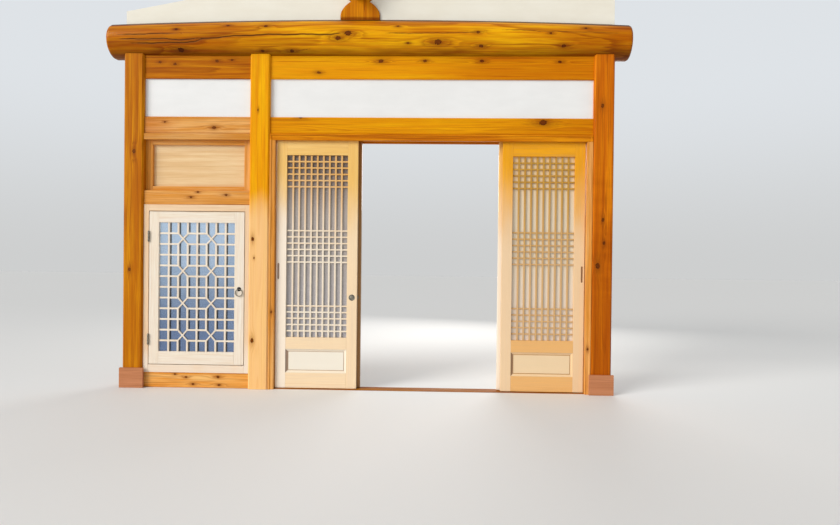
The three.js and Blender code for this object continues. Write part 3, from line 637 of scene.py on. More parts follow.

# %% [markdown]
# Every new piece goes the same way into the scene: its mesh gets a material, it
# rides on a body, and it may stand for nodes of the model, which are then hidden.
# Each is one line once this helper exists. Values for the paint are kept at the
# points of its mesh.

# %% Adding a finished piece


def add_piece(name, mesh, material, body, replaces=()):
    thing = in_scene(name, mesh)
    mesh.materials.append(material)
    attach(thing, body)
    if replaces:
        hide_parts(*replaces)
    print(name, len(mesh.polygons), "faces on", body)


def set_values(mesh, grain, **marks):
    """Keeps a place in grain space and some numbers for each point of a mesh."""
    flat = [part for place_in_tree in grain for part in place_in_tree]
    mesh.attributes.new("grain", "FLOAT_VECTOR", "POINT").data.foreach_set("vector", flat)
    for name, values in marks.items():
        mesh.attributes.new(name, "FLOAT", "POINT").data.foreach_set("value", values)


# %% [markdown]
# Shapes are made in Blender's mesh editor, bmesh. Round pieces are rings of points
# bridged one to the next, and flat ones are an outline pushed through a depth.

# %% Helpers for shapes


def facing_out(part):
    bmesh.ops.recalc_face_normals(part, faces=part.faces)
    return part


def bridge(part, first, second):
    following = [*range(1, len(first)), 0]
    for i, j in enumerate(following):
        part.faces.new((first[i], first[j], second[j], second[i]))


def pushed_through(loop, y0, y1):
    """A slab with this outline in X and Z, its sides not yet turned outward."""
    part = bmesh.new()
    face = part.faces.new([part.verts.new((x, y0, z)) for x, z in loop])
    moved = bmesh.ops.extrude_face_region(part, geom=[face])
    for vert in (v for v in moved["geom"] if isinstance(v, bmesh.types.BMVert)):
        vert.co.y = y1
    return part


def prism(loop, y0, y1):
    return facing_out(pushed_through(loop, y0, y1))


print("shape helpers ready")

# %% [markdown]
# Some pieces are cut after they are shaped: pulls are routed into the door stiles,
# and a check has opened in the king post. A cutter is an outline pushed through a
# depth, and the boolean modifier takes it out. Other pieces are several closed
# shapes, such as the two dishes of a pull, and are joined in one mesh.

# %% Helpers that bore and join


def bored(part, cutters):
    """The part with the cutters taken out of it, by the boolean modifier."""
    things = []
    for index, shape in enumerate([part, *cutters]):
        mesh = bpy.data.meshes.new(f"boring_{index}")
        shape.to_mesh(mesh)
        shape.free()
        things.append(in_scene(f"boring_{index}", mesh))
    for cutter in things[1:]:
        cut = things[0].modifiers.new("cut", "BOOLEAN")
        cut.operation, cut.solver, cut.object = "DIFFERENCE", "EXACT", cutter
    evaluated = things[0].evaluated_get(bpy.context.evaluated_depsgraph_get())
    result = bmesh.new()
    result.from_mesh(evaluated.to_mesh())
    evaluated.to_mesh_clear()
    for thing in things:
        mesh = thing.data
        bpy.data.objects.remove(thing)
        bpy.data.meshes.remove(mesh)
    return result


def one_mesh(name, parts, smooth=True):
    whole = bmesh.new()
    for part in parts:
        held = bpy.data.meshes.new("held")
        part.to_mesh(held)
        part.free()
        whole.from_mesh(held)
        bpy.data.meshes.remove(held)
    mesh = bpy.data.meshes.new(name)
    whole.to_mesh(mesh)
    whole.free()
    mesh.polygons.foreach_set("use_smooth", [smooth] * len(mesh.polygons))
    return mesh


print("boring and joining ready")

# %% [markdown]
# The girder is a whole log, peeled and planed by hand. A cylinder would look
# turned on a lathe, so its skin is a grid of rings whose radius follows the
# log's camber, with faint flats from the plane and slow swells left by the tree.

# %% Girder: the skin of the log
GIRDER_BOTTOM = 2.660
GIRDER_MIDDLE_RADIUS, GIRDER_END_RADIUS = 0.156, 0.136
PLANE_FLATS, PLANE_DEPTH, PLANE_DRIFT = 17, 0.0007, (1.7, 1.3)
SWELL_DEPTH = 0.0026
# (size, turn for each metre along, where it starts, waves round the log)
SWELLS = ((1.0, 4.1, 0.6, 0), (0.7, 9.7, 2.0, 2))


def girder_radius(x):
    reach = x / ((cad_box[1].x - cad_box[0].x) / 2)
    return GIRDER_MIDDLE_RADIUS + (GIRDER_END_RADIUS - GIRDER_MIDDLE_RADIUS) * reach * reach


def girder_point(x, out, up):
    return (x, -out, GIRDER_BOTTOM + girder_radius(x) + up)


def log_relief(along, angle):
    """How far the skin lies inside the round log; swells keep off the top and the bottom."""
    flats = math.cos(PLANE_FLATS * angle + PLANE_DRIFT[0] * math.sin(along * PLANE_DRIFT[1]))
    swells = sum(
        size * math.sin(along * waves + start + turns * angle) for size, waves, start, turns in SWELLS
    )
    swells /= sum(swell[0] for swell in SWELLS)
    return PLANE_DEPTH * (1 - flats) / 2 + SWELL_DEPTH * (1 + swells) / 2 * math.cos(angle) ** 2


print("girder radius", GIRDER_MIDDLE_RADIUS, "to", round(girder_radius(cad_box[1].x), 3), "m")

# %% [markdown]
# Drying has opened long checks in the log. Each check is a line of places along
# it, given as metres along the wall and degrees above the level of its axis on
# the room side, with how open it is. They are pressed into the grid as real
# grooves, and two values mark the groove and the stain beside it for the paint.

# %% Girder: its drying checks
CHECK_HALF_WIDTH, CHECK_DEPTH, CHECK_CLOSING = 0.0042, 0.008, 0.12
STAIN_REACH = 4.0
CHECK_WANDER = ((0.012, 23, 1), (0.006, 71, 2))
LEAST_CLOSING = 0.05
CHECKS = [
    # (how open, [(along, degrees), ...])
    (0.85, [(-0.16, 1.0), (-0.30, -2.8), (-0.60, -2.3), (-0.757, -1.9), (-1.06, -5.7),
            (-1.263, -11.5), (-1.382, -21.0), (-1.479, -22.7), (-1.90, -23.0)]),
    (0.8, [(-1.275, -10.6), (-1.468, -14.0), (-1.636, -10.4), (-2.0, -9.5)]),
    (0.7, [(-1.46, 6.0), (-1.646, 5.6), (-2.02, 5.0)]),
    (0.5, [(0.107, 0.9), (0.42, 1.5), (0.731, 4.0), (0.948, 8.1)]),
    (0.6, [(-0.60, -49.7), (-0.44, -43.6)]),
    (0.4, [(1.02, 16.0), (1.42, 13.0), (1.98, 14.0)]),
    (0.9, [(-1.6, 168.0), (-0.7, 172.0), (0.1, 166.0), (0.6, 169.0)]),
    (0.7, [(0.9, 150.0), (1.7, 154.0)]),
]


def check_angle(line, x):
    """The angle of a check where it crosses x, and how open its ends leave it there."""
    ordered = sorted(line)
    for (x0, a0), (x1, a1) in zip(ordered, ordered[1:]):
        if x0 <= x <= x1:
            share = (x - x0) / (x1 - x0)
            eased = share * share * (3 - 2 * share)
            to_end = min(x - ordered[0][0], ordered[-1][0] - x) / CHECK_CLOSING
            return math.radians(a0 + (a1 - a0) * eased), min(1.0, to_end)
    return None


def check_depth(x, angle, radius):
    """How deep a place lies in a check, 1 in its middle; less than 0 on the wood beside it."""
    deepest = -STAIN_REACH
    for index, (openness, line) in enumerate(CHECKS):
        found = check_angle(line, x)
        if found is None:
            continue
        centre, closing = found
        centre += sum(size * math.sin(x * waves + turn * index) for size, waves, turn in CHECK_WANDER)
        away = abs((angle - centre + math.pi) % (2 * math.pi) - math.pi) * radius
        depth = 1 - away / (CHECK_HALF_WIDTH * openness * max(LEAST_CLOSING, closing))
        deepest = max(deepest, depth * openness if depth > 0 else depth)
    return deepest


print(len(CHECKS), "drying checks")

# %% [markdown]
# The mesh of a log is made ring by ring, from a function for its radius and one
# for its axis, so that the ridge purlin can be made the same way. Each point also
# keeps its place in the tree, whose heart lies a little beside the log's axis.
# On the girder, a dark line is painted high up where the plaster meets it: painted shade.

# %% Girder: the mesh
LOG_STEPS, LOG_SIDES = 340, 240
END_ROUNDING = 0.006
HEART_OUT, HEART_UP = 0.012, -0.015
# Painted shade along the joint with the plaster: where it begins and is full, in degrees, and its share of
# the crack colour.
SOOT_FROM, SOOT_FULL, SOOT_DARK = 44.0, 51.0, 0.42


def in_trunk(along, out, up):
    return along, out + HEART_OUT, up + HEART_UP


def soot_at(angle):
    """Painted shade: nothing below the shade line, 1 above it, on the room side."""
    rising = (math.degrees(angle) - SOOT_FROM) / (SOOT_FULL - SOOT_FROM)
    return min(1.0, max(0.0, rising)) if angle < math.pi / 2 else 0.0


def log_mesh(name, low, high, steps, around, radius_at, axis_point, is_checked=False):
    part = bmesh.new()
    rings, grain, checks, stains = [], [], [], []
    places = [low + (high - low) * step / steps for step in range(steps + 1)]
    for row, along in enumerate([places[0], *places, places[-1]]):
        rounding = max(0.0, 1 - min(along - low, high - along) / END_ROUNDING)
        on_end_face = row in (0, steps + 2)
        ring = []
        for side in range(around):
            angle = 2 * math.pi * side / around
            depth = check_depth(along, angle, radius_at(along)) if is_checked else -STAIN_REACH
            soot = soot_at(angle) if is_checked else 0.0
            reach = radius_at(along) - log_relief(along, angle) - CHECK_DEPTH * max(0.0, depth)
            reach -= END_ROUNDING * (rounding * rounding + on_end_face)
            out, up = reach * math.cos(angle), reach * math.sin(angle)
            ring.append(part.verts.new(axis_point(along, out, up)))
            grain.append(in_trunk(along, out, up))
            # Both values also carry the painted shade where the plaster meets the log.
            checks.append(max(0.0, depth, SOOT_DARK * soot))
            stains.append(max(0.0, 1 + depth / STAIN_REACH, soot))
        rings.append(ring)
    for first, second in zip(rings, rings[1:]):
        bridge(part, first, second)
    part.faces.new(rings[0][::-1])
    part.faces.new(rings[-1])
    mesh = one_mesh(name, [facing_out(part)])
    mesh.polygons.foreach_set("use_smooth", [len(p.vertices) == 4 for p in mesh.polygons])
    set_values(mesh, grain, check=checks, stain=stains, tone=[0.0] * len(grain))
    print(name, round(high - low, 3), "m long")
    return mesh


girder_low, girder_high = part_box("girder")
girder_mesh = log_mesh(
    "girder_log", girder_low.x, girder_high.x, LOG_STEPS, LOG_SIDES, girder_radius, girder_point, True,
)

# %% [markdown]
# The girder takes the golden finish with its own knots. It is browner towards its
# ends, and painted olive brown underneath: painted shade. Its checks are painted
# nearly black, and the line where the plaster meets it brown, both painted shade.

# %% Girder: its finish
GIRDER_KNOTS = [
    # (along, degrees, radius)
    (-0.143, 0.9, 0.020), (-0.222, -13.1, 0.017), (0.247, 23.7, 0.009), (0.561, -23.0, 0.022),
    (0.326, -26.2, 0.008), (0.871, 6.1, 0.012), (0.897, -33.2, 0.013), (1.436, 7.0, 0.009),
    (1.542, -30.6, 0.014), (1.711, 29.0, 0.010), (-1.485, -45.5, 0.020), (-1.511, 20.1, 0.010),
    (-0.794, 25.6, 0.012), (-0.596, -49.7, 0.014), (-0.828, -49.6, 0.011), (-1.099, 30.2, 0.010),
    (-1.1, 160, 0.02), (0.35, 185, 0.017), (1.3, 165, 0.02),
]
GIRDER_ENDS = (0.30, 0.75, (0.66, 0.47, 0.4, 1))
# Painted shade under the girder: (high, low, tint).
GIRDER_UNDERSIDE = (2.735, 2.672, (0.45, 0.42, 0.4, 1))


def girder_knot(x, degrees, radius):
    angle, reach = math.radians(degrees), girder_radius(x)
    return (*in_trunk(x, reach * math.cos(angle), reach * math.sin(angle)), radius)


girder_look = {
    **GOLDEN, "light": (1.0, 0.54, 0.005, 1), "dark": (0.72, 0.25, 0.003, 1),
    "late": (0.36, 0.075, 0.002, 1), "rings": 0.8, "clouds": 0.5, "spacing": 0.008,
}
girder_finish = pine("amber_pine_girder", girder_look, [girder_knot(*knot) for knot in GIRDER_KNOTS])
shade_by_place(girder_finish, GIRDER_ENDS, GIRDER_UNDERSIDE)
paint_checks(girder_finish)
add_piece("girder_log", girder_mesh, girder_finish, "wall", ["girder"])

# %% [markdown]
# The ridge purlin is a shorter log laid across the king post, and the king post
# is a thick board sawn to two tiers of lobes. Its outline could be drawn as many
# points, but a few curves hold it: each flank is three Bezier curves. The notch
# for the purlin and its rail is part of the same outline.

# %% King post: its outline
KING_X = -0.062
KING_HALF_DEPTH = 0.060
KING_BASE = GIRDER_BOTTOM + 2 * GIRDER_MIDDLE_RADIUS
KING_LOBE, KING_NECK, KING_UPPER = 0.158, 0.075, 0.124
KING_FOOT, KING_SHOULDER = -0.05, 0.024
KING_FLANK = [
    ((KING_LOBE - 0.002, 0.074), (KING_NECK + 0.041, 0.102), (KING_NECK, 0.134)),
    ((KING_NECK + 0.010, 0.154), (KING_UPPER, 0.158), (KING_UPPER, 0.198)),
    ((KING_UPPER, 0.222), (KING_UPPER - 0.020, 0.246), (KING_UPPER - 0.034, 0.368)),
]
CURVE_STEPS, NOTCH_STEPS = 20, 12
SEAT_GAP = 0.0004
purlin_low, purlin_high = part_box("ridge_purlin")
PURLIN_RADIUS = (purlin_high.x - purlin_low.x) / 2
PURLIN_Z = purlin_high.z - PURLIN_RADIUS
rail_low, rail_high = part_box("purlin_rail")


def bezier(points, share):
    a, b, c, d = (Vector(p) for p in points)
    rest = 1 - share
    return a * rest ** 3 + b * 3 * share * rest ** 2 + c * 3 * share ** 2 * rest + d * share ** 3


def king_flank():
    line = [Vector((KING_LOBE, KING_FOOT)), Vector((KING_LOBE, KING_SHOULDER))]
    for first, second, end in KING_FLANK:
        curve = (line[-1].copy(), first, second, end)
        line += [bezier(curve, step / CURVE_STEPS) for step in range(1, CURVE_STEPS + 1)]
    return line


def king_outline():
    """Points of (X, height above the girder), up one side and down the other."""
    seat = PURLIN_RADIUS + SEAT_GAP
    purlin_up = PURLIN_Z - KING_BASE
    half_rail = (rail_high.x - rail_low.x) / 2 + SEAT_GAP
    side = [p for p in king_flank() if (p - Vector((0, purlin_up))).length > seat]
    begin = math.atan2(side[-1].x, purlin_up - side[-1].y)
    finish = math.asin(half_rail / seat)
    for step in range(1, NOTCH_STEPS + 1):
        angle = begin + (finish - begin) * step / NOTCH_STEPS
        side.append(Vector((seat * math.sin(angle), purlin_up - seat * math.cos(angle))))
    side.append(Vector((half_rail, rail_low.z - KING_BASE - SEAT_GAP)))
    return side + [Vector((-p.x, p.y)) for p in reversed(side)]


print(len(king_outline()), "points round the king post")

# %% [markdown]
# The outline is pushed through the thickness of the board, its sawn edges are
# rounded, and it is cut into layers so that its foot can be hollowed to sit on the
# round girder. A drying check runs out to a point at its foot.

# %% King post: sawing, checking and seating
IN_ONE_PLANE = 1e-6
KING_CHECK_TAPER = 1.5


def board_from_outline(outline, half_depth, layers, edge):
    """A board sawn along an outline, its sawn edges rounded, cut into layers in Y."""
    shape = pushed_through(outline, -half_depth, half_depth)
    rims = [e for e in shape.edges if abs(e.verts[0].co.y - e.verts[1].co.y) < IN_ONE_PLANE]
    bmesh.ops.bevel(shape, geom=rims, offset=edge, segments=3, profile=0.5, affect="EDGES")
    for layer in range(1, layers):
        y = -half_depth + 2 * half_depth * layer / layers
        whole = shape.verts[:] + shape.edges[:] + shape.faces[:]
        bmesh.ops.bisect_plane(shape, geom=whole, plane_co=(0, y, 0), plane_no=(0, 1, 0))
    return facing_out(shape)


def drying_check(line, width, y0, y1):
    """A cutter that follows (height, place) pairs and runs out to a point at its foot."""
    sides = [
        [(x + side * width / 2 * min(1.0, i / KING_CHECK_TAPER), z) for i, (z, x) in enumerate(line)]
        for side in (-1, 1)
    ]
    return prism(sides[0][:1] + sides[1][1:] + sides[0][:0:-1], y0, y1)


def seat_on_girder(mesh):
    for vert in mesh.vertices:
        x, y = vert.co.x + KING_X, vert.co.y
        radius = girder_radius(x)
        top = GIRDER_BOTTOM + radius + math.sqrt(radius * radius - y * y)
        vert.co.z = max(vert.co.z + KING_BASE, top)
        vert.co.x = x


print("king post helpers ready")

# %% [markdown]
# Now the board is sawn, a long check is cut into its face, and its foot is set on
# the girder. The paint needs its place in the tree, and a value for a darker brown
# on its sawn edges, which is full inside the thickness of the board and nothing on
# its two faces.

# %% King post: the board
KING_LAYERS, KING_EDGE = 10, 0.005
KING_CHECK = [(0.034, 0.036), (0.070, 0.034), (0.110, 0.037), (0.164, 0.038)]
KING_CHECK_WIDTH, KING_CHECK_DEPTH = 0.0034, 0.010
OVERSHOOT = 0.001
FACE_STAIN = 0.001
KING_IN_TRUNK = Vector((7.0, 0.02, 0.07))
king_board = bored(
    board_from_outline(king_outline(), KING_HALF_DEPTH, KING_LAYERS, KING_EDGE),
    [drying_check(KING_CHECK, KING_CHECK_WIDTH, -KING_HALF_DEPTH - OVERSHOOT,
                  KING_CHECK_DEPTH - KING_HALF_DEPTH)],
)
king_mesh = one_mesh("king_post_carved", [king_board], smooth=False)
seat_on_girder(king_mesh)
king_places = [vert.co.copy() for vert in king_mesh.vertices]
set_values(
    king_mesh, [Vector((co.z, co.x - KING_X, co.y)) + KING_IN_TRUNK for co in king_places],
    tone=[0.0] * len(king_places),
    stain=[min(1.0, (KING_HALF_DEPTH - abs(co.y)) / FACE_STAIN) for co in king_places],
)
print("king post", len(king_places), "points")

# %% [markdown]
# Both pieces of the ridge wear the same old amber varnish. The king post is painted
# darker at its very foot, where it sits on the girder: painted shade. Its sawn edges
# are painted brown by the same paint as the checks.

# %% King post and ridge purlin: finish
PURLIN_STEPS, PURLIN_SIDES = 60, 120
# Painted shade at the foot of the king post, where it sits on the girder.
KING_FOOT_SHADE = (2.990, 2.968, (0.45, 0.34, 0.28, 1))


def purlin_point(y, out, up):
    return (KING_X - out, y, PURLIN_Z + up)


purlin_mesh = log_mesh(
    "ridge_purlin_log", purlin_low.y, purlin_high.y, PURLIN_STEPS, PURLIN_SIDES,
    lambda y: PURLIN_RADIUS, purlin_point,
)
king_finish = pine("amber_pine_king_post", AMBER)
shade_by_place(king_finish, None, KING_FOOT_SHADE)
paint_checks(king_finish)
add_piece("king_post_carved", king_mesh, king_finish, "wall", ["king_post"])
add_piece("ridge_purlin_log", purlin_mesh, king_finish, "wall", ["ridge_purlin"])

# %% [markdown]
# Posts, rails, lintels and plaster already have their true shape in the model,
# with their chamfers. They stay, and get their own finish. A small bevel, only
# shown and never saved in the mesh, rounds the arrises so that they catch light
# as planed wood does.

# %% Helpers for the model's own timbers
ARRIS = 0.0016
ARRIS_ANGLE = math.radians(25)
WELD_DISTANCE = 0.00002


def soften(node_name):
    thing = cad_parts[node_name]
    thing.modifiers.new("weld", "WELD").merge_threshold = WELD_DISTANCE
    bevel = thing.modifiers.new("arris", "BEVEL")
    bevel.width, bevel.segments = ARRIS, 2
    bevel.limit_method, bevel.angle_limit = "ANGLE", ARRIS_ANGLE


def dress(node_name, material):
    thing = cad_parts[node_name]
    thing.data.materials.clear()
    thing.data.materials.append(material)


def tinted(look, lightness):
    keys = ("light", "dark", "late")
    return {**look, **{key: (*[min(0.95, c * lightness) for c in look[key][:3]], 1) for key in keys}}


print("arrises", ARRIS, "m")

# %% [markdown]
# Each timber has its own grain and colour, because no two are cut from one tree:
# the lightness here multiplies a look, and the seed moves the timber to a place of
# its own in the grain. The middle post stands in the strongest daylight, which is
# painted on it as a peach colour below: painted light.

# %% Looks of the model's own timbers
# Painted light: the middle post is painted paler, peach, towards its foot.
SUNNED = {
    **GOLDEN, "rings": 0.3, "clouds": 0.35,
    "bleach": (1.25, 1.60, 0.75, (0.92, 0.60, 0.30, 1), WHITE),
}
WALL_TIMBERS = {
    # name: (grain axis, look, lightness, seed)
    "left_post": ("Z", AMBER, 0.85, 11), "middle_post": ("Z", SUNNED, 1.0, 12),
    "right_post": ("Z", RUSSET, 1.1, 13), "left_top_rail": ("X", AMBER, 0.82, 14),
    "right_top_rail": ("X", GOLDEN, 0.98, 15), "left_lintel": ("X", HONEY, 0.96, 16),
    "right_lintel": ("X", GOLDEN, 0.92, 17), "bay_sill_beam": ("X", HONEY, 1.12, 18),
    "bay_middle_rail": ("X", HONEY, 0.98, 19), "bay_head": ("X", HONEY, 0.88, 20),
    "doorway_head": ("X", AMBER, 1.05, 21), "doorway_left_jamb": ("Z", HONEY, 0.98, 22),
    "doorway_right_jamb": ("Z", HONEY, 1.0, 23), "purlin_rail": ("Y", RUSSET, 0.8, 24),
    "threshold": ("X", AMBER, 0.6, 25),
}
print(len(WALL_TIMBERS), "timbers")

# %% [markdown]
# Knots give a timber its face. They could be scattered at random, but the eye
# knows a post by them, so the ones that show are set where they are: each is a
# place on the face of the room (-Y) or behind, and the radius of the branch.

# %% Knots of the timbers
TIMBER_KNOTS = {
    "middle_post": [
        (-0.904, -0.08, 1.204, 0.012), (-0.901, -0.08, 0.392, 0.014), (-0.869, -0.08, 2.234, 0.006),
        (-0.891, -0.08, 1.052, 0.006), (-0.86, 0.08, 1.6, 0.016),
    ],
    "right_post": [
        (1.838, -0.08, 1.02, 0.018), (1.885, -0.08, 1.201, 0.011), (1.875, -0.08, 1.382, 0.012),
        (1.86, -0.08, 2.28, 0.012),
    ],
    "left_post": [(-1.87, -0.08, 1.9, 0.014), (-1.9, -0.08, 0.95, 0.012), (-1.85, 0.08, 1.3, 0.016)],
    "left_top_rail": [
        (-1.21, -0.06, 2.63, 0.011), (-1.089, -0.06, 2.638, 0.009), (-1.551, -0.06, 2.605, 0.010),
        (-1.673, -0.06, 2.62, 0.010),
    ],
    "right_top_rail": [
        (-0.387, -0.06, 2.54, 0.011), (0.108, -0.06, 2.633, 0.016), (0.459, -0.06, 2.634, 0.011),
        (0.911, -0.06, 2.635, 0.013), (1.527, -0.06, 2.629, 0.011), (0.55, 0.06, 2.58, 0.016),
    ],
    "left_lintel": [(-1.23, -0.06, 2.097, 0.013), (-1.63, -0.06, 2.14, 0.007)],
    "right_lintel": [
        (-0.532, -0.06, 2.18, 0.010), (1.40, -0.06, 2.15, 0.024), (0.8, 0.06, 2.11, 0.014),
    ],
    "bay_sill_beam": [
        (-1.441, -0.06, 0.086, 0.008), (-1.384, -0.06, 0.03, 0.009), (-1.181, -0.06, 0.09, 0.010),
        (-1.172, -0.06, 0.026, 0.009), (-1.531, -0.06, 0.109, 0.007),
    ],
    "bay_middle_rail": [
        (-1.412, -0.06, 1.537, 0.009), (-1.128, -0.06, 1.556, 0.010), (-1.356, -0.06, 1.578, 0.008),
        (-1.24, 0.06, 1.53, 0.012),
    ],
    "doorway_left_jamb": [(-0.75, -0.07, 0.62, 0.008)],
    "doorway_right_jamb": [(1.77, -0.07, 0.36, 0.008)],
}
print(sum(map(len, TIMBER_KNOTS.values())), "knots")

# %% [markdown]
# Some timbers are browner away from a place along the wall, or below a level, and
# the shading group paints that over their finish. Then each one is dressed.

# %% Finish for the model's own timbers
BROWNED = {
    # name: (away from (place, reach, tint), below (high, low, tint))
    "left_top_rail": (None, (2.70, 2.50, (0.9, 0.75, 0.6, 1))),
    "right_top_rail": ((-0.7, 0.9, (0.78, 0.60, 0.5, 1)), None),
    "right_lintel": ((0.2, 0.75, (0.80, 0.6, 0.5, 1)), None),
    "right_post": (None, (1.9, 0.6, (0.72, 0.62, 0.6, 1))),
    "left_lintel": ((-1.15, 0.3, (0.85, 0.72, 0.7, 1)), None),
}
for node_name, (axis, look, lightness, seed) in WALL_TIMBERS.items():
    knots = TIMBER_KNOTS.get(node_name, ())
    finish = pine(f"amber_pine_{node_name}", tinted(look, lightness), knots, node_name, axis, seed)
    if node_name in BROWNED:
        shade_by_place(finish, *BROWNED[node_name])
    dress(node_name, finish)
    soften(node_name)
print(len(WALL_TIMBERS), "timbers finished")

# %% [markdown]
# The feet of the corner posts are cased with boards of a pinker, plainer wood.
# They take the same kind of finish, with nearer rings and a duller varnish.

# %% Foot casings
FOOT = {
    **AMBER, "light": (0.60, 0.26, 0.13, 1), "dark": (0.50, 0.20, 0.09, 1), "late": (0.36, 0.13, 0.06, 1),
    "spacing": 0.004, "gloss": 0.42, "coat": 0.05,
}
FIRST_FOOT_SEED = 31
for seed, node_name in enumerate(("left_foot_casing", "right_foot_casing"), FIRST_FOOT_SEED):
    dress(node_name, pine(f"foot_pine_{node_name}", FOOT, (), node_name, "X", seed))
    soften(node_name)
print("foot casings finished")

# %% [markdown]
# Lime plaster is laid with a trowel, so it is never quite flat: broad swells, and
# a fine tooth from the sand. Both plasters use one group, and only their colour
# differs: clean white between the rails, warm cream in the gable.

# %% Group: trowelled plaster
SAND_SCALE, SAND_SHARE, TROWEL_STRETCH = 420.0, 0.12, (5.0, 5.0, 16.0)
PLASTER_RELIEF, PLASTER_DEPTH, PLASTER_ROUGHNESS = 0.5, 0.0025, 0.9


def build_plaster(tree, given):
    vector = given["Vector"]
    swell = noise(tree, vector, given["Swell Size"], 3.0, 0.45)["Fac"]
    sand = noise(tree, vector, SAND_SCALE, 2.0, 0.6)["Fac"]
    trowel = noise(tree, vector, TROWEL_STRETCH, 4.0, 0.6)["Fac"]
    shade = calc(tree, "MULTIPLY_ADD", trowel, 0.5, calc(tree, "MULTIPLY", swell, 0.5))
    height = calc(tree, "MULTIPLY_ADD", sand, SAND_SHARE, calc(tree, "MULTIPLY", shade, 1 - SAND_SHARE))
    return {"Shade": span(tree, shade, 0.3, 0.7), "Height": height}


def plaster(name, light, dark):
    material, tree, shader = new_material(name)
    texture = use_group(tree, PLASTER, {"Vector": object_place(tree)})
    fill(shader, {
        "Base Color": blend(tree, texture["Shade"], dark, light), "Roughness": PLASTER_ROUGHNESS,
        "Normal": bump(tree, texture["Height"], PLASTER_RELIEF, PLASTER_DEPTH),
    })
    return material


PLASTER = make_group(
    "trowelled_plaster", {"Vector": NOWHERE, "Swell Size": 3.0}, ["Shade", "Height"], build_plaster,
)
white_plaster = plaster("white_plaster", (0.84, 0.84, 0.83, 1), (0.80, 0.80, 0.79, 1))
cream_plaster = plaster("cream_plaster", (0.87, 0.83, 0.72, 1), (0.83, 0.78, 0.66, 1))
for side in ("left", "right"):
    dress(f"{side}_upper_plaster", white_plaster)
    dress(f"{side}_gable_plaster", cream_plaster)

# %% [markdown]
# Doors and casings are joiner's work: straight sticks with eased edges, butted
# together. A stick is a box whose edges are rounded by a bevel, so the joints show
# as fine grooves. Its sizes are read from the nodes that the joinery stands for.

# %% Sticks with eased edges
STICK_EDGE, FRAME_EDGE = 0.0015, 0.002


def eased_box(x0, x1, y0, y1, z0, z1, edge):
    part = bmesh.new()
    bmesh.ops.create_cube(part, size=1.0)
    size = Vector((x1 - x0, y1 - y0, z1 - z0))
    middle = Vector((x0 + x1, y0 + y1, z0 + z1)) / 2
    for vert in part.verts:
        vert.co = Vector(a * b for a, b in zip(vert.co, size)) + middle
    bmesh.ops.bevel(part, geom=part.edges[:], offset=edge, segments=2, profile=0.5, affect="EDGES")
    return part


def inside(outer, widths):
    """The opening that a frame of these widths leaves: left, right, bottom and top."""
    x0, x1, z0, z1 = outer
    left, right, bottom, top = widths
    return x0 + left, x1 - right, z0 + bottom, z1 - top


def outer_of(node_name):
    """The outline of a node in X and Z, and its front and back in Y."""
    low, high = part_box(node_name)
    return (low.x, high.x, low.z, high.z), low.y, high.y


print("eased edges", STICK_EDGE, "and", FRAME_EDGE, "m")

# %% [markdown]
# One object holds all the sticks of a frame, each a closed box. For each stick the
# grain space is written into the mesh, turned along the stick and moved to a place
# of its own in the tree, with a random tone so that neighbours differ.

# %% Joinery
BESIDE_HEART, ABOVE_HEART = (0.03, 0.12), (-0.06, 0.06)


class Joinery:
    """Sticks gathered for one mesh, each with a grain, a tone and a stain and painted shade of its own."""

    def __init__(self, seed):
        self.points, self.faces, self.grain = [], [], []
        self.marks = {"tone": [], "panel": [], "stain": []}
        self.rng = random.Random(seed)

    def add_part(self, part, axis, tone=None, panel=0.0, stain=0.0):
        """Takes a bmesh over as one stick; its stain and painted shade is a number or a function of a
        place.
        """
        order = GRAIN_AXES[axis]
        part.verts.index_update()
        places = [v.co.copy() for v in part.verts]
        middle = sum(places, Vector()) / len(places)
        shift = [self.rng.uniform(*ends) for ends in ((0, TRUNK_LENGTH), BESIDE_HEART, ABOVE_HEART)]
        tone = self.rng.random() if tone is None else tone
        start = len(self.points)
        for co in places:
            self.points.append(co[:])
            self.grain.append([
                co[a] - (middle[a] if i else 0.0) + shift[i] for i, a in enumerate(order)
            ])
            self.marks["tone"].append(tone)
            self.marks["panel"].append(panel)
            self.marks["stain"].append(stain(co) if callable(stain) else stain)
        self.faces += [tuple(start + v.index for v in f.verts) for f in part.faces]
        part.free()

    def stick(self, x0, x1, y0, y1, z0, z1, axis, edge=STICK_EDGE, tone=None, stain=0.0):
        self.add_part(eased_box(x0, x1, y0, y1, z0, z1, edge), axis, tone, stain=stain)

    def frame(self, outer, widths, y0, y1, edge=STICK_EDGE, stain=0.0):
        """Two uprights and two rails between them; widths are left, right, bottom and top."""
        x0, x1, z0, z1 = outer
        left, right, bottom, top = inside(outer, widths)
        for a, b, c, d, axis in (
            (x0, left, z0, z1, "Z"), (right, x1, z0, z1, "Z"),
            (left, right, z0, bottom, "X"), (left, right, top, z1, "X"),
        ):
            self.stick(a, b, y0, y1, c, d, axis, edge, stain=stain)

    def mesh(self, name):
        mesh = bpy.data.meshes.new(name)
        mesh.from_pydata(self.points, [], self.faces)
        mesh.validate()
        set_values(mesh, self.grain, **self.marks)
        return mesh


print("joinery ready")

# %% [markdown]
# The narrow bay has two joined frames: the transom frame round a plain panel, and
# the casing that the small door shuts against, with a stop all round behind the
# door. Both stand for nodes of the model of the same size.

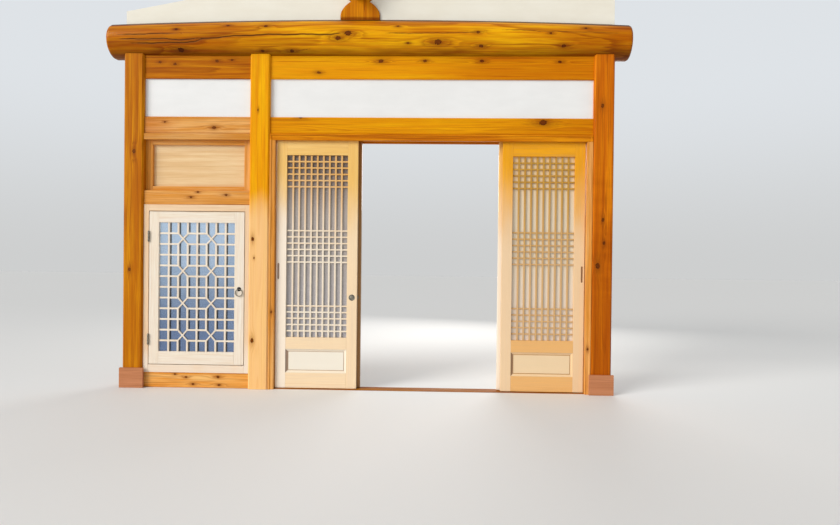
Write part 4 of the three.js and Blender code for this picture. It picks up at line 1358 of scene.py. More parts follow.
# %% Casing and transom of the narrow bay
TRANSOM_WIDTHS = (0.056, 0.056, 0.034, 0.034)
CASING_WIDTHS = (0.042, 0.036, 0.062, 0.052)
STOP_WIDTHS, STOP_DEPTH = (0.014,) * 4, 0.020
DOOR_THICK, DOOR_CLEAR = 0.036, 0.005
transom, casing = Joinery(41), Joinery(42)
transom_outer, transom_front, transom_back = outer_of("transom_frame")
transom.frame(transom_outer, TRANSOM_WIDTHS, transom_front, transom_back)
casing_outer, casing_front, casing_back = outer_of("small_door_casing")
casing.frame(casing_outer, CASING_WIDTHS, casing_front, casing_back, FRAME_EDGE)
stop_front = casing_front + DOOR_THICK + DOOR_CLEAR
casing.frame(inside(casing_outer, CASING_WIDTHS), STOP_WIDTHS, stop_front, stop_front + STOP_DEPTH)
bay_finish = pine("amber_pine_joinery", HONEY)
casing_finish = pine("amber_pine_casing", BLOND)
add_piece("transom_joinery", transom.mesh("transom_joinery"), bay_finish, "wall",
          ["transom_frame"])
add_piece("door_casing_joinery", casing.mesh("door_casing_joinery"), casing_finish, "wall",
          ["small_door_casing"])
dress("transom_panel", pine("pale_pine_transom_panel", PALE, (), "transom_panel", "X", 43))

# %% [markdown]
# The small door is a pale frame with a lattice of squares. Every third row, two
# squares are crossed by diagonals and lose their sides, which leaves long
# hexagons between them. The bars are half lapped on the real door. Here each is
# a stick of its own, and first it is worked out which parts of it are kept.

# %% Small door: which bars are kept
DOOR_COLUMNS, DOOR_ROWS = 8, 12
CROSSED_COLUMNS, CROSSED_ROWS = (2, 5), (1, 4, 7, 10)


def beside_cross(column, row, step_column, step_row):
    """Whether one of the two squares that share this side of a square is crossed."""
    squares = ((column, row), (column - step_column, row - step_row))
    return any(c in CROSSED_COLUMNS and r in CROSSED_ROWS for c, r in squares)


def kept_runs(count, left_out):
    """The runs of steps, from and to, that lie between those left out."""
    runs, start = [], 0
    for step in range(count + 1):
        if step == count or left_out(step):
            if step > start:
                runs.append((start, step))
            start = step + 1
    return runs


print("crossed squares", len(CROSSED_COLUMNS) * len(CROSSED_ROWS))

# %% [markdown]
# Then the bars are laid. Uprights, rails and diagonals differ by a few tenths of a
# millimetre in depth, so that no two faces lie in one plane.

# %% Small door: a lattice of squares
DOOR_BAR, DIAGONAL_BAR, BAR_EDGE = 0.014, 0.011, 0.001
LAP_STEP = 0.0004


def diagonal(work, a, b, y0, y1, width):
    run = Vector((b[0] - a[0], 0, b[1] - a[1]))
    part = eased_box(-run.length / 2, run.length / 2, y0, y1, -width / 2, width / 2, BAR_EDGE)
    turn = Matrix.Rotation(-math.atan2(run.z, run.x), 4, "Y")
    move = Matrix.Translation(((a[0] + b[0]) / 2, 0, (a[1] + b[1]) / 2))
    bmesh.ops.transform(part, matrix=move @ turn, verts=part.verts)
    work.add_part(part, "X")


def squares_lattice(work, area, front, back, upright=DOOR_BAR):
    lx0, lx1, lz0, lz1 = area
    pitch_x, pitch_z = (lx1 - lx0) / DOOR_COLUMNS, (lz1 - lz0) / DOOR_ROWS
    half_bar, half_upright = DOOR_BAR / 2, upright / 2
    for column in range(1, DOOR_COLUMNS):
        x = lx0 + column * pitch_x
        for a, b in kept_runs(DOOR_ROWS, lambda row: beside_cross(column, row, 1, 0)):
            low = lz0 if a == 0 else lz0 + a * pitch_z - half_bar
            high = lz1 if b == DOOR_ROWS else lz0 + b * pitch_z + half_bar
            work.stick(x - half_upright, x + half_upright, front, back, low, high, "Z", BAR_EDGE)
    front, back = front + LAP_STEP, back - LAP_STEP
    for row in range(1, DOOR_ROWS):
        z = lz0 + row * pitch_z
        for a, b in kept_runs(DOOR_COLUMNS, lambda column: beside_cross(column, row, 0, 1)):
            left = lx0 if a == 0 else lx0 + a * pitch_x - half_upright + LAP_STEP
            right = lx1 if b == DOOR_COLUMNS else lx0 + b * pitch_x + half_upright - LAP_STEP
            work.stick(left, right, front, back, z - half_bar, z + half_bar, "X", BAR_EDGE)
    for row in CROSSED_ROWS:
        for column in CROSSED_COLUMNS:
            a, b = lx0 + column * pitch_x, lx0 + (column + 1) * pitch_x
            c, d = lz0 + row * pitch_z, lz0 + (row + 1) * pitch_z
            for corners, inset in (((a, c), (b, d)), LAP_STEP), (((a, d), (b, c)), 2 * LAP_STEP):
                diagonal(work, *corners, front + inset, back - inset, DIAGONAL_BAR)


print("door bars", DOOR_BAR, "m wide")

# %% [markdown]
# The dark line at the right of each upright is a second lattice behind the glass,
# with broader uprights, painted nearly black brown: painted shade. The same
# function lays both, and the frame goes round them.

# %% Small door: frame, lattice and rear lattice
DOOR_WIDTHS = (0.078, 0.078, 0.102, 0.088)
REAR_UPRIGHT, REAR_BAR_SETBACK = 0.028, 0.001
DOOR_LOOK = {
    **PALE, "light": (0.90, 0.85, 0.76, 1), "dark": (0.86, 0.77, 0.63, 1), "tone": 0.4, "rings": 0.2,
}
# The rear bars are painted nearly black brown: painted shade.
WEATHERED = {**PALE, "light": (0.09, 0.045, 0.022, 1), "dark": (0.06, 0.028, 0.014, 1), "coat": 0.0}
door_work, front_lattice, rear_lattice = Joinery(51), Joinery(52), Joinery(53)
door_outer, door_front, door_back = outer_of("small_door_frame")
door_work.frame(door_outer, DOOR_WIDTHS, door_front, door_back, FRAME_EDGE)
lattice_area, lattice_front, lattice_back = outer_of("small_door_lattice")
squares_lattice(front_lattice, lattice_area, lattice_front, lattice_back)
rear_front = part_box("small_door_glass")[1].y + LAP_STEP
squares_lattice(rear_lattice, lattice_area, rear_front, door_back - REAR_BAR_SETBACK, REAR_UPRIGHT)
door_finish = pine("pale_pine_small_door", DOOR_LOOK)
weathered_finish = pine("pale_pine_weathered", WEATHERED)
for name, work, finish, stands_for in (
    ("small_door_joinery", door_work, door_finish, ["small_door_frame"]),
    ("small_door_lattice_bars", front_lattice, door_finish, ["small_door_lattice"]),
    ("small_door_rear_bars", rear_lattice, weathered_finish, []),
):
    add_piece(name, work.mesh(name), finish, "small_door", stands_for)

# %% [markdown]
# A sliding leaf has a stile at each side. The two left leaves have a round flush
# pull and all four have a slot in the other stile, so those stiles are bored with
# the boolean modifier before their grain is written. The number beside a leaf's
# name says which way it slides, 1 to the right.

# %% Sliding leaves: stiles with pulls
LEAF_STILE = 0.082
ROUND_PULL_RADIUS, ROUND_PULL_Z, PULL_DEPTH = 0.024, 0.742, 0.009
SLOT_WIDTH, SLOT_LENGTH, SLOT_Z, SLOT_INSET = 0.016, 0.130, 0.949, 0.019
PULL_GRIME_FROM = 0.003
# which way a leaf slides: (tone of its left stile, tone of its right stile)
STILE_TONES = {1: (0.0, 0.95), -1: (0.1, 0.25)}
LEAVES = {"front_left": 1, "front_right": -1, "rear_left": 1, "rear_right": -1}


def stadium(x, z, radius, half_straight, steps=12):
    loop = []
    for end, start in ((1, 0.0), (-1, math.pi)):
        for step in range(steps + 1):
            angle = start + math.pi * step / steps
            loop.append((x + radius * math.cos(angle), z + end * half_straight + radius * math.sin(angle)))
    return loop


def circle(x, z, radius, steps=48):
    angles = (2 * math.pi * i / steps for i in range(steps))
    return [(x + radius * math.cos(angle), z + radius * math.sin(angle)) for angle in angles]


def pull_places(name, outer):
    """Where the slot and the round pull of a leaf are along X; a right leaf has no round one."""
    if LEAVES[name] > 0:
        return outer[0] + SLOT_INSET, outer[1] - LEAF_STILE / 2
    return outer[1] - SLOT_INSET, None


def stile_with_pulls(work, name, outer, y0, y1, at_left):
    x0 = outer[0] if at_left else outer[1] - LEAF_STILE
    part = eased_box(x0, x0 + LEAF_STILE, y0, y1, outer[2], outer[3], FRAME_EDGE)
    slot_x, round_x = pull_places(name, outer)
    loops = []
    if x0 < slot_x < x0 + LEAF_STILE:
        loops.append(stadium(slot_x, SLOT_Z, SLOT_WIDTH / 2, SLOT_LENGTH / 2 - SLOT_WIDTH / 2))
    if round_x and x0 < round_x < x0 + LEAF_STILE:
        loops.append(circle(round_x, ROUND_PULL_Z, ROUND_PULL_RADIUS))
    cutters = [prism(loop, y0 - OVERSHOOT, y0 + PULL_DEPTH) for loop in loops]
    cutters += [prism(loop, y1 - PULL_DEPTH, y1 + OVERSHOOT) for loop in loops]
    part = bored(part, cutters) if cutters else part
    tone = STILE_TONES[LEAVES[name]][0 if at_left else 1]
    # The pull recesses, deeper than the faces, are painted dark: painted shade.
    grimy = (y0 + PULL_GRIME_FROM, y1 - PULL_GRIME_FROM)
    work.add_part(part, "Z", tone, stain=lambda co: float(grimy[0] < co.y < grimy[1]))


print(len(LEAVES), "sliding leaves")

# %% [markdown]
# Low down in a leaf is a sunken panel, behind a sloping surround. The surround is
# a moulding: one profile runs round the opening in four strips, mitred at the
# corners. Its left slope, which the light never reaches, is painted dark: painted
# shade.

# %% Sliding leaves: the moulding round a panel
MOULDING_WHITENESS = 0.6
GROOVE_BOTTOM = 0.0136
PANEL_PROFILE = [
    # (inset from the opening, depth behind the face)
    (0.0, 0.0004), (0.0012, 0.0004), (0.0024, 0.0030), (0.0160, 0.0104), (0.0172, 0.0106),
    (0.0172, GROOVE_BOTTOM), (0.0, GROOVE_BOTTOM),
]


def moulding(work, outer, y_face, inward):
    x0, x1, z0, z1 = outer
    for side in range(4):
        part = bmesh.new()
        rings = []
        for corner in (side, (side + 1) % 4):
            ring = []
            for inset, depth in PANEL_PROFILE:
                x = x0 + inset if corner in (0, 3) else x1 - inset
                z = z0 + inset if corner in (0, 1) else z1 - inset
                ring.append(part.verts.new((x, y_face + inward * depth, z)))
            rings.append(ring)
        bridge(part, *rings)
        part.faces.new(rings[0])
        part.faces.new(rings[1][::-1])
        # The strip on the left side is painted dark: painted shade.
        grime = 1.0 if side == 3 else 0.0
        work.add_part(facing_out(part), "XZ"[side % 2], None, MOULDING_WHITENESS, grime)


print("moulding of", len(PANEL_PROFILE), "corners")

# %% [markdown]
# Between the stiles are three rails, with the panel between the lower two and a
# tall lattice above. A narrow groove draws the thin dark line round the flat of
# the panel, and it is painted dark too: painted shade. The leaf is the same on both
# faces.

# %% Sliding leaves: frames
LEAF_BOTTOM_RAIL, LEAF_PANEL, LEAF_MIDDLE_RAIL, LEAF_TOP_RAIL = 0.122, 0.191, 0.095, 0.123
# The last of these is how dark the groove round the flat is painted: painted shade.
GROOVE_END, GROOVE_EDGE, GROOVE_GRIME = 0.0230, 0.0002, 0.85
PANEL_FLAT, PANEL_EDGE = 0.0100, 0.0012
RAIL_TONE = 0.95


def leaf_frame(name):
    work = Joinery(sum(map(ord, name)))
    outer, y0, y1 = outer_of(f"{name}_leaf_frame")
    for at_left in (True, False):
        stile_with_pulls(work, name, outer, y0, y1, at_left)
    x0, x1, z0, z1 = inside(outer, (LEAF_STILE, LEAF_STILE, 0, 0))
    panel0 = z0 + LEAF_BOTTOM_RAIL
    panel1 = panel0 + LEAF_PANEL
    for low, high, tone in (
        (z0, panel0, RAIL_TONE), (panel1, panel1 + LEAF_MIDDLE_RAIL, RAIL_TONE),
        (z1 - LEAF_TOP_RAIL, z1, 0.0),
    ):
        work.stick(x0, x1, y0, y1, low, high, "X", FRAME_EDGE, tone)
    opening, groove = (x0, x1, panel0, panel1), (GROOVE_END,) * 4
    work.frame(opening, groove, y0 + GROOVE_BOTTOM, y1 - GROOVE_BOTTOM, GROOVE_EDGE, GROOVE_GRIME)
    a, b, c, d = inside(opening, groove)
    work.add_part(eased_box(a, b, y0 + PANEL_FLAT, y1 - PANEL_FLAT, c, d, PANEL_EDGE), "X", panel=1.0)
    moulding(work, opening, y0, 1)
    moulding(work, opening, y1, -1)
    return work.mesh(f"{name}_leaf_joinery")


print("leaf rails", LEAF_BOTTOM_RAIL, LEAF_MIDDLE_RAIL, LEAF_TOP_RAIL, "m high")

# %% [markdown]
# All the leaves are the same pine, with the light painted on each in its own way:
# the left ones are painted nearly white at their foot, and the front right one
# keeps the strongest gold. The rear left one is painted darker towards its stiles,
# a painted shade from the leaf before it.

# %% Sliding leaves: finish
# Painted light: the leaves are painted paler towards the foot, the left ones nearly white.
LEFT_LEAF = {
    **PALE, "light": (0.95, 0.64, 0.22, 1), "dark": (0.89, 0.54, 0.14, 1), "tone": 0.5,
    "bleach": (1.10, 1.75, 0.95, (0.92, 0.83, 0.72, 1), (0.84, 0.79, 0.68, 1)),
}
RIGHT_LEAF = {
    **PALE, "light": (0.93, 0.42, 0.004, 1), "dark": (0.81, 0.34, 0.003, 1), "tone": 0.7,
    "shine": 0.16, "shine_tint": (1.0, 0.68, 0.30, 1), "coat": 0.02,
    "bleach": (1.1, 1.85, 0.94, (0.83, 0.65, 0.45, 1), (0.83, 0.67, 0.45, 1)),
}
REAR_LEFT_SHADE = (-0.40, 0.155, (0.40, 0.27, 0.15, 1))
leaf_finish = {
    "front_left": pine("pale_pine_left_leaves", LEFT_LEAF),
    "rear_left": pine("pale_pine_rear_left", LEFT_LEAF),
    "front_right": pine("pale_pine_front_right", RIGHT_LEAF),
    "rear_right": pine("pale_pine_rear_right", {**LEFT_LEAF, "tone": 0.0}),
}
shade_by_place(leaf_finish["rear_left"], REAR_LEFT_SHADE)
for name in LEAVES:
    paint_checks(leaf_finish[name])
    add_piece(f"{name}_leaf_joinery", leaf_frame(name), leaf_finish[name], f"{name}_leaf",
              [f"{name}_leaf_frame"])

# %% [markdown]
# The lattice of a leaf has nine uprights on a pitch of about five centimetres,
# and cross bars in three groups of five or six. Uprights stand a shade proud of
# the cross bars. The edges are eased as on the real bars, which are planed
# before they are lapped.

# %% Sliding leaves: lattices
LATTICE_COLUMNS, LATTICE_UNITS = 10, 29
CROSS_ROWS = (*range(1, 6), *range(12, 18), *range(24, 29))
UPRIGHT_WIDTH, CROSS_WIDTH, LATTICE_EDGE = 0.014, 0.012, 0.0012
LATTICE_SEED = 7
# Painted light: the bars are painted paler towards the foot, and paler on the left leaves than on the
# right.
LEFT_BARS = {
    **PALE, "light": (0.84, 0.52, 0.20, 1), "dark": (0.72, 0.38, 0.10, 1), "rings": 0.15, "tone": 0.2,
    "bleach": (1.1, 1.85, 0.95, (0.86, 0.79, 0.67, 1), WHITE),
}
RIGHT_BARS = {
    **PALE, "light": (0.60, 0.33, 0.04, 1), "dark": (0.46, 0.23, 0.02, 1), "rings": 0.15, "tone": 0.3,
    "bleach": (0.8, 1.8, 0.9, (0.66, 0.43, 0.23, 1), WHITE),
}


def leaf_lattice(name):
    work = Joinery(sum(map(ord, name)) + LATTICE_SEED)
    (x0, x1, z0, z1), y0, y1 = outer_of(f"{name}_leaf_lattice")
    for column in range(1, LATTICE_COLUMNS):
        x = x0 + (x1 - x0) * column / LATTICE_COLUMNS
        left, right = x - UPRIGHT_WIDTH / 2, x + UPRIGHT_WIDTH / 2
        work.stick(left, right, y0, y1, z0, z1, "Z", LATTICE_EDGE)
    for row in CROSS_ROWS:
        z = z0 + (z1 - z0) * row / LATTICE_UNITS
        low, high = z - CROSS_WIDTH / 2, z + CROSS_WIDTH / 2
        work.stick(x0, x1, y0 + LAP_STEP, y1 - LAP_STEP, low, high, "X", LATTICE_EDGE)
    return work.mesh(f"{name}_lattice_bars")


bar_finish = {1: pine("pale_pine_left_bars", LEFT_BARS), -1: pine("pale_pine_right_bars", RIGHT_BARS)}
for name, lead in LEAVES.items():
    add_piece(f"{name}_lattice_bars", leaf_lattice(name), bar_finish[lead], f"{name}_leaf",
              [f"{name}_leaf_lattice"])

# %% [markdown]
# Behind each lattice is a pane of glass with paper behind it. The paper is painted
# darker under the head of the doorway, a painted shade, and paler low down, and
# white fibres lie in it at random. The glass face is smooth, so a clear coat over
# the paper colour gives its reflections, as the photograph shows between the bars.

# %% Group: fibrous paper and painted shade
FOOT_LEVEL, MIDDLE_LEVEL, TOP_LEVEL = 0.3, 1.35, 1.88
CLOUD_STRETCH, CLOUD_RISE = (9.0, 1.5, 1.5), 0.25
THREAD_SCALE, THREAD_WIDTH, THREAD_SHARE = 55.0, 0.06, 0.16
THREAD_BEND_SCALE, THREAD_BEND = 9.0, (0.08, 0.08, 0.08)
THREAD_WHITE = (0.9, 0.9, 0.88, 1)


def build_paper(tree, given):
    vector = given["Vector"]
    bend = vector_calc(tree, "MULTIPLY", noise(tree, vector, THREAD_BEND_SCALE)["Color"], THREAD_BEND)
    bent = {"Vector": vector_calc(tree, "ADD", vector, bend), "Scale": THREAD_SCALE}
    edges = place(tree, "ShaderNodeTexVoronoi", bent, feature="DISTANCE_TO_EDGE")["Distance"]
    threads = span(tree, edges, 0.0, THREAD_WIDTH, THREAD_SHARE, 0.0)
    cloud = waver(tree, vector, CLOUD_STRETCH, 3.0, 0.6)
    height = calc(tree, "MULTIPLY_ADD", cloud, CLOUD_RISE, parts_of(tree, vector)["Z"])
    colour = blend(tree, span(tree, height, FOOT_LEVEL, MIDDLE_LEVEL), given["Foot"], given["Middle"])
    colour = blend(tree, span(tree, height, MIDDLE_LEVEL, TOP_LEVEL), colour, given["Top"])
    return {"Color": blend(tree, threads, colour, THREAD_WHITE)}


PAPER = make_group(
    "fibrous_paper", {"Vector": NOWHERE, "Top": WHITE, "Middle": WHITE, "Foot": WHITE}, ["Color"],
    build_paper,
)

# %% [markdown]
# The panes of the left leaves stand in shade and look grey. Those of the right
# leaves take the daylight and are cream, so two materials share the group.

# %% Panes of the sliding leaves
PANE_LOOKS = {
    # side: (top, middle, foot)
    # The top colour of each pane is painted shade under the head of the doorway.
    "left": ((0.12, 0.075, 0.05, 1), (0.37, 0.33, 0.31, 1), (0.35, 0.34, 0.37, 1)),
    "right": ((0.78, 0.56, 0.29, 1), (0.74, 0.64, 0.47, 1), (0.76, 0.64, 0.53, 1)),
}
for side, colours in PANE_LOOKS.items():
    pane, tree, shader = new_material(f"paper_pane_{side}")
    levels = dict(zip(("Top", "Middle", "Foot"), colours))
    paper = use_group(tree, PAPER, {"Vector": object_place(tree), **levels})
    fill(shader, {
        "Base Color": paper["Color"], "Roughness": 0.5, "Coat Weight": 0.8, "Coat Roughness": 0.02,
    })
    for row in ("front", "rear"):
        dress(f"{row}_{side}_leaf_pane", pane)
print("panes", *PANE_LOOKS)

# %% [markdown]
# The small door looks out on daylight, which is painted into the tint of its glass:
# blue at the top, where the sky shows, slate grey at the bottom. Nearly all of the
# light passes, so that the rear lattice is seen through it, and the rest is a blue
# haze on the pane.

# %% Glass of the small door
# Painted light: the view beyond the glass, slate grey low down and sky blue at the top.
GLASS_LOW, GLASS_HIGH = (0.16, 0.24, 0.43, 1), (0.61, 0.77, 0.97, 1)
HAZE_SCALE, HAZE_RISE = 2.5, 0.35
sky_glass, tree, shader = new_material("sky_glass")
glass_low, glass_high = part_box("small_door_glass")
here = object_place(tree)
haze = waver(tree, here, HAZE_SCALE, 3.0)
height = calc(tree, "MULTIPLY_ADD", haze, HAZE_RISE, parts_of(tree, here)["Z"])
fill(shader, {
    "Base Color": blend(tree, span(tree, height, glass_low.z, glass_high.z), GLASS_LOW, GLASS_HIGH),
    "Roughness": 0.03, "IOR": 1.5, "Transmission Weight": 0.9,
})
dress("small_door_glass", sky_glass)
print("glass from", round(glass_low.z, 3), "to", round(glass_high.z, 3), "m")

# %% [markdown]
# Worn metal is one group: fine brushed lines make its roughness, and patches that
# hands have dulled change its colour. Nickel and black iron both use it.

# %% Group: brushed metal
BRUSH_STRETCH, WEAR_SCALE = (900.0, 60.0, 60.0), 120.0


def build_metal(tree, given):
    lines = noise(tree, given["Vector"], BRUSH_STRETCH)["Fac"]
    worn = noise(tree, given["Vector"], WEAR_SCALE, 3.0)["Fac"]
    return {
        "Color": blend(tree, span(tree, worn, 0.35, 0.7, 0.0, 0.8), given["Bright"], given["Dull"]),
        "Roughness": calc(tree, "MULTIPLY_ADD", span(tree, lines, 0.3, 0.7), 0.2, given["Rough"]),
    }


METAL = make_group(
    "brushed_metal", {"Vector": NOWHERE, "Bright": WHITE, "Dull": WHITE, "Rough": 0.3},
    ["Color", "Roughness"], build_metal,
)


def brushed_metal(name, bright, dull, rough):
    material, tree, shader = new_material(name)
    look = {"Vector": object_place(tree), "Bright": bright, "Dull": dull, "Rough": rough}
    surface = use_group(tree, METAL, look)
    fill(shader, {"Base Color": surface["Color"], "Roughness": surface["Roughness"], "Metallic": 1.0})
    return material


nickel = brushed_metal("dull_nickel", (0.30, 0.28, 0.23, 1), (0.15, 0.13, 0.10, 1), 0.42)
black_iron = brushed_metal("black_iron", (0.022, 0.021, 0.022, 1), (0.012, 0.010, 0.010, 1), 0.4)

# %% [markdown]
# Metal fittings are small but they are what a hand touches. The round pull is a
# pressed dish let into the stile: a raised lip, a groove inside it and a shallow
# dome. It could be cut with booleans, but it is turned work, so it is built from
# circles, smaller and smaller, nearer or deeper, bridged one to the next.

# %% Round flush pulls
PULL_STEPS = [
    # (inset of the circle, depth behind the face), from the back of the dish to its middle
    (0.0004, 0.0080), (0.0004, 0.0002), (-0.0012, -0.0002), (-0.0004, -0.0012), (0.0020, -0.0012),
    (0.0032, 0.0004), (0.0046, 0.0030), (0.0062, 0.0030), (0.0084, 0.0016), (0.0120, 0.0006),
    (0.0170, 0.0002),
]


def round_pull(x, z, face_y, inward):
    """A closed dish from bridged circles."""
    part = bmesh.new()
    rings = []
    for inset, depth in PULL_STEPS:
        loop = circle(x, z, ROUND_PULL_RADIUS - inset)
        rings.append([part.verts.new((a, face_y + inward * depth, b)) for a, b in loop])
    for first, second in zip(rings, rings[1:]):
        bridge(part, first, second)
    part.faces.new(rings[0])
    part.faces.new(rings[-1])
    return facing_out(part)


for name in LEAVES:
    outer, y0, y1 = outer_of(f"{name}_leaf_frame")
    round_x = pull_places(name, outer)[1]
    if round_x:
        dishes = [round_pull(round_x, ROUND_PULL_Z, face, inward) for face, inward in ((y0, 1), (y1, -1))]
        add_piece(f"{name}_round_pulls", one_mesh(f"{name}_round_pulls", dishes), nickel, f"{name}_leaf")

# %% [markdown]
# The small door is pulled by a ring on a round black rose, and it swings on two
# barrel hinges. Round work is turned: a profile of distance and radius is spun
# about a line. The ring is a wire bent round a circle and hangs in an eye, which
# is a smaller wire turned to face the side.

# %% Turned and bent work


def turned_part(profile, steps, to_place):
    """Spins (distance along, radius) pairs; the first and last pair lie on the axis."""
    part = bmesh.new()
    rings = []
    for along, radius in profile:
        loop = circle(0, 0, radius, steps) if radius else [(0.0, 0.0)]
        rings.append([part.verts.new(to_place(along, a, b)) for a, b in loop])
    for first, second in zip(rings, rings[1:]):
        for i in range(steps):
            j = (i + 1) % steps
            corners = (
                first[i % len(first)], first[j % len(first)],
                second[j % len(second)], second[i % len(second)],
            )
            part.faces.new(list(dict.fromkeys(corners)))
    return facing_out(part)


def bent_wire(centre, radius, wire, steps, sides, turn=Matrix.Identity(3)):
    part = bmesh.new()
    rings = []
    for x, z in circle(0, 0, 1, steps):
        ring = []
        for a, b in circle(0, 0, wire, sides):
            offset = Vector((x, 0, z)) * (radius + a) + Vector((0, b, 0))
            ring.append(part.verts.new(Vector(centre) + turn @ offset))
        rings.append(ring)
    for first, second in zip(rings, rings[1:] + rings[:1]):
        bridge(part, first, second)
    return facing_out(part)


print("turning and bending ready")

# %% [markdown]
# The rose sits high in the box of the node that it stands for, and the ring hangs
# to its foot. Both stand a few millimetres out from the door.

# %% Ring pull
ROSE_PROFILE = [
    # (distance from the door, radius)
    (0.0, 0.0), (0.0, 0.0165), (0.0016, 0.0168), (0.0026, 0.0158), (0.0034, 0.0110), (0.0038, 0.0065),
    (0.0052, 0.0055), (0.0058, 0.0),
]
ROSE_RADIUS, ROSE_STEPS = 0.017, 40
RING_RADIUS, RING_WIRE, RING_OUT = 0.028, 0.0033, 0.0066
EYE_RADIUS, EYE_WIRE, EYE_OUT, EYE_DROP = 0.0045, 0.0013, 0.0065, 0.001
pull_low, pull_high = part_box("small_door_ring_pull")
pull_x, pull_y = (pull_low.x + pull_high.x) / 2, pull_high.y
rose_z = pull_high.z - ROSE_RADIUS
ring_z = pull_low.z + RING_RADIUS + RING_WIRE
rose = turned_part(
    ROSE_PROFILE, ROSE_STEPS, lambda along, a, b: (pull_x + a, pull_y - along, rose_z + b),
)
sideways = Matrix.Rotation(math.radians(90), 3, "Z")
eye = bent_wire((pull_x, pull_y - EYE_OUT, rose_z - EYE_DROP), EYE_RADIUS, EYE_WIRE, 24, 10, sideways)
ring = bent_wire((pull_x, pull_y - RING_OUT, ring_z), RING_RADIUS, RING_WIRE, 72, 16)
add_piece("ring_pull_rose", one_mesh("ring_pull_rose", [rose, eye]), black_iron, "small_door",
          ["small_door_ring_pull"])
add_piece("ring_pull_ring", one_mesh("ring_pull_ring", [ring]), nickel, "small_door")

# %% [markdown]
# A barrel hinge is three knuckles on a pin, with a small turned finial at each
# end. Its radius is given as a share of the barrel's, so that one profile fits.

# %% Hinges
FINIAL = 0.005
FINIAL_TURNS = [(0.0, 0.0), (0.0, 0.45), (0.002, 0.75), (FINIAL, 0.6)]
KNUCKLES, KNUCKLE_SHORTER, KNUCKLE_GAP = 3, 0.0033, 0.0006
KNUCKLE_ROUNDING, KNUCKLE_END = 0.0006, 0.8
BARREL_STEPS = 32


def barrel_profile(low, high, radius):
    profile = [(low + along, radius * share) for along, share in FINIAL_TURNS]
    pitch = (high - low) / KNUCKLES - KNUCKLE_SHORTER
    for index in range(KNUCKLES):
        start = low + FINIAL + index * pitch
        end = start + pitch - KNUCKLE_GAP
        profile += [(start, radius * KNUCKLE_END), (start + KNUCKLE_ROUNDING, radius)]
        profile += [(end - KNUCKLE_ROUNDING, radius), (end, radius * KNUCKLE_END)]
    return profile + [(high - along, radius * share) for along, share in reversed(FINIAL_TURNS)]


for level in ("lower", "upper"):
    low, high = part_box(f"small_door_{level}_hinge")
    centre = (low + high) / 2
    barrel = turned_part(
        barrel_profile(low.z, high.z, (high.x - low.x) / 2), BARREL_STEPS,
        lambda along, a, b: (centre.x + a, centre.y + b, along),
    )
    add_piece(f"{level}_hinge_barrel", one_mesh(f"{level}_hinge_barrel", [barrel]), nickel, "wall",
              [f"small_door_{level}_hinge"])

# %% [markdown]
# The stage is a plain pale floor that runs out of sight, a hair below the feet of
# the wall so that the two never share a plane.

# %% Floor
HALF_FLOOR, FLOOR_Z = 30.0, -0.0005
CORNERS = ((-1, -1), (1, -1), (1, 1), (-1, 1))
floor_mesh = bpy.data.meshes.new("floor")
floor_points = [(x * HALF_FLOOR, y * HALF_FLOOR, FLOOR_Z) for x, y in CORNERS]
floor_mesh.from_pydata(floor_points, [], [(0, 1, 2, 3)])
floor_finish, _, floor_shader = new_material("pale_floor")
fill(floor_shader, {"Base Color": (0.78, 0.77, 0.75, 1), "Roughness": 0.7})
floor_mesh.materials.append(floor_finish)
floor = in_scene("floor", floor_mesh)
print("floor", 2 * HALF_FLOOR, "m wide")

# %% [markdown]
# The room is lit as the photograph is: broad daylight comes low from the left, and
# pale surroundings send it back. A sun with a wide angle gives that light with
# soft edges, and a pale world fills the shadows. The world is brighter where it is
# seen, directly or through glass, so that the backdrop stays clean.

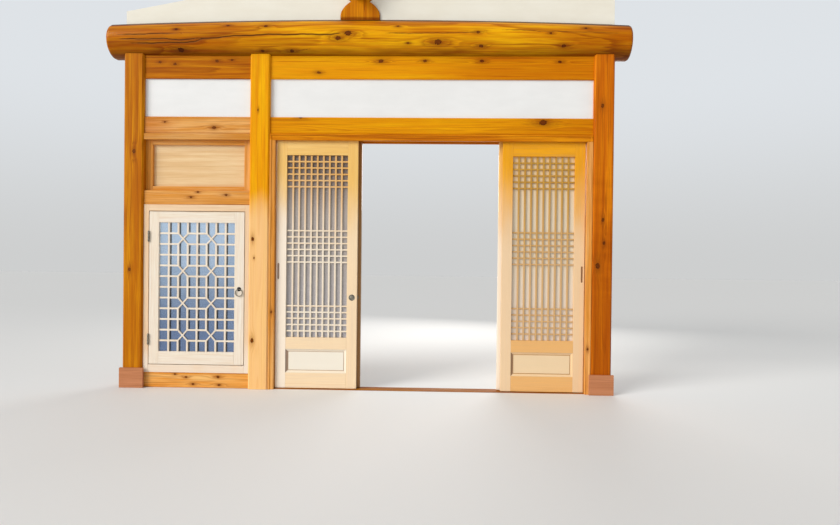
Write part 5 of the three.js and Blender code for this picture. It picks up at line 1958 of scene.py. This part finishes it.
# %% World
HORIZON_COLOUR, WORLD_COLOUR = (0.77, 0.78, 0.78, 1), (0.92, 0.96, 1.0, 1)
WORLD_LIGHT, WORLD_SEEN = 0.5, 0.80
world = bpy.data.worlds.new("studio")
world.use_nodes = True
tree = world.node_tree
height = parts_of(tree, place(tree, "ShaderNodeTexCoord")["Generated"])["Z"]
rays = place(tree, "ShaderNodeLightPath")
seen = calc(tree, "MAXIMUM", rays["Is Camera Ray"], rays["Is Transmission Ray"])
fill(tree.nodes["Background"], {
    "Color": blend(tree, span(tree, height, -0.02, 0.28), HORIZON_COLOUR, WORLD_COLOUR),
    "Strength": calc(tree, "MULTIPLY_ADD", seen, WORLD_SEEN - WORLD_LIGHT, WORLD_LIGHT),
})
scene.world = world
print("world strength", WORLD_LIGHT, "and", WORLD_SEEN, "where it is seen")

# %% [markdown]
# Two broad lamps help the sun: one low on the left, for the sheen of the varnish,
# and one on the far side, so that the back of the wall can be seen too. Colours
# are shown as they are, with the Standard view and no look.

# %% Lamps
SUN_FROM, SUN_AWAY = Vector((-0.76, -0.60, 0.50)), 8
SUN_STRENGTH, SUN_ANGLE = 2.45, math.radians(32)
WARM_WHITE = (1.0, 0.98, 0.95)
SOFT_LAMPS = (
    # (name, power, colour, place, aim, width and height)
    ("low_daylight", 14, (1.0, 1.0, 1.0), (-3.4, -3.2, 1.9), (0.3, 0.0, 1.4), (2.6, 2.0)),
    ("far_side", 120, WARM_WHITE, (1.5, 4.5, 3.0), (0.0, 0.0, 1.6), (3.4, 2.4)),
)


def add_lamp(name, kind, energy, colour, place_at, aim):
    data = bpy.data.lights.new(name, kind)
    data.energy = energy
    data.color = colour
    lamp = in_scene(name, data)
    lamp.location = place_at
    lamp.rotation_euler = (Vector(aim) - Vector(place_at)).to_track_quat("-Z", "Y").to_euler()
    return data


sun = add_lamp("daylight", "SUN", SUN_STRENGTH, WARM_WHITE, SUN_FROM * SUN_AWAY, (0, 0, 0))
sun.angle = SUN_ANGLE
for name, power, colour, place_at, aim, size in SOFT_LAMPS:
    lamp = add_lamp(name, "AREA", power, colour, place_at, aim)
    lamp.shape = "RECTANGLE"
    lamp.size, lamp.size_y = size
scene.view_settings.view_transform = "Standard"
scene.view_settings.look = "None"
print("lamps", len(bpy.data.lights))
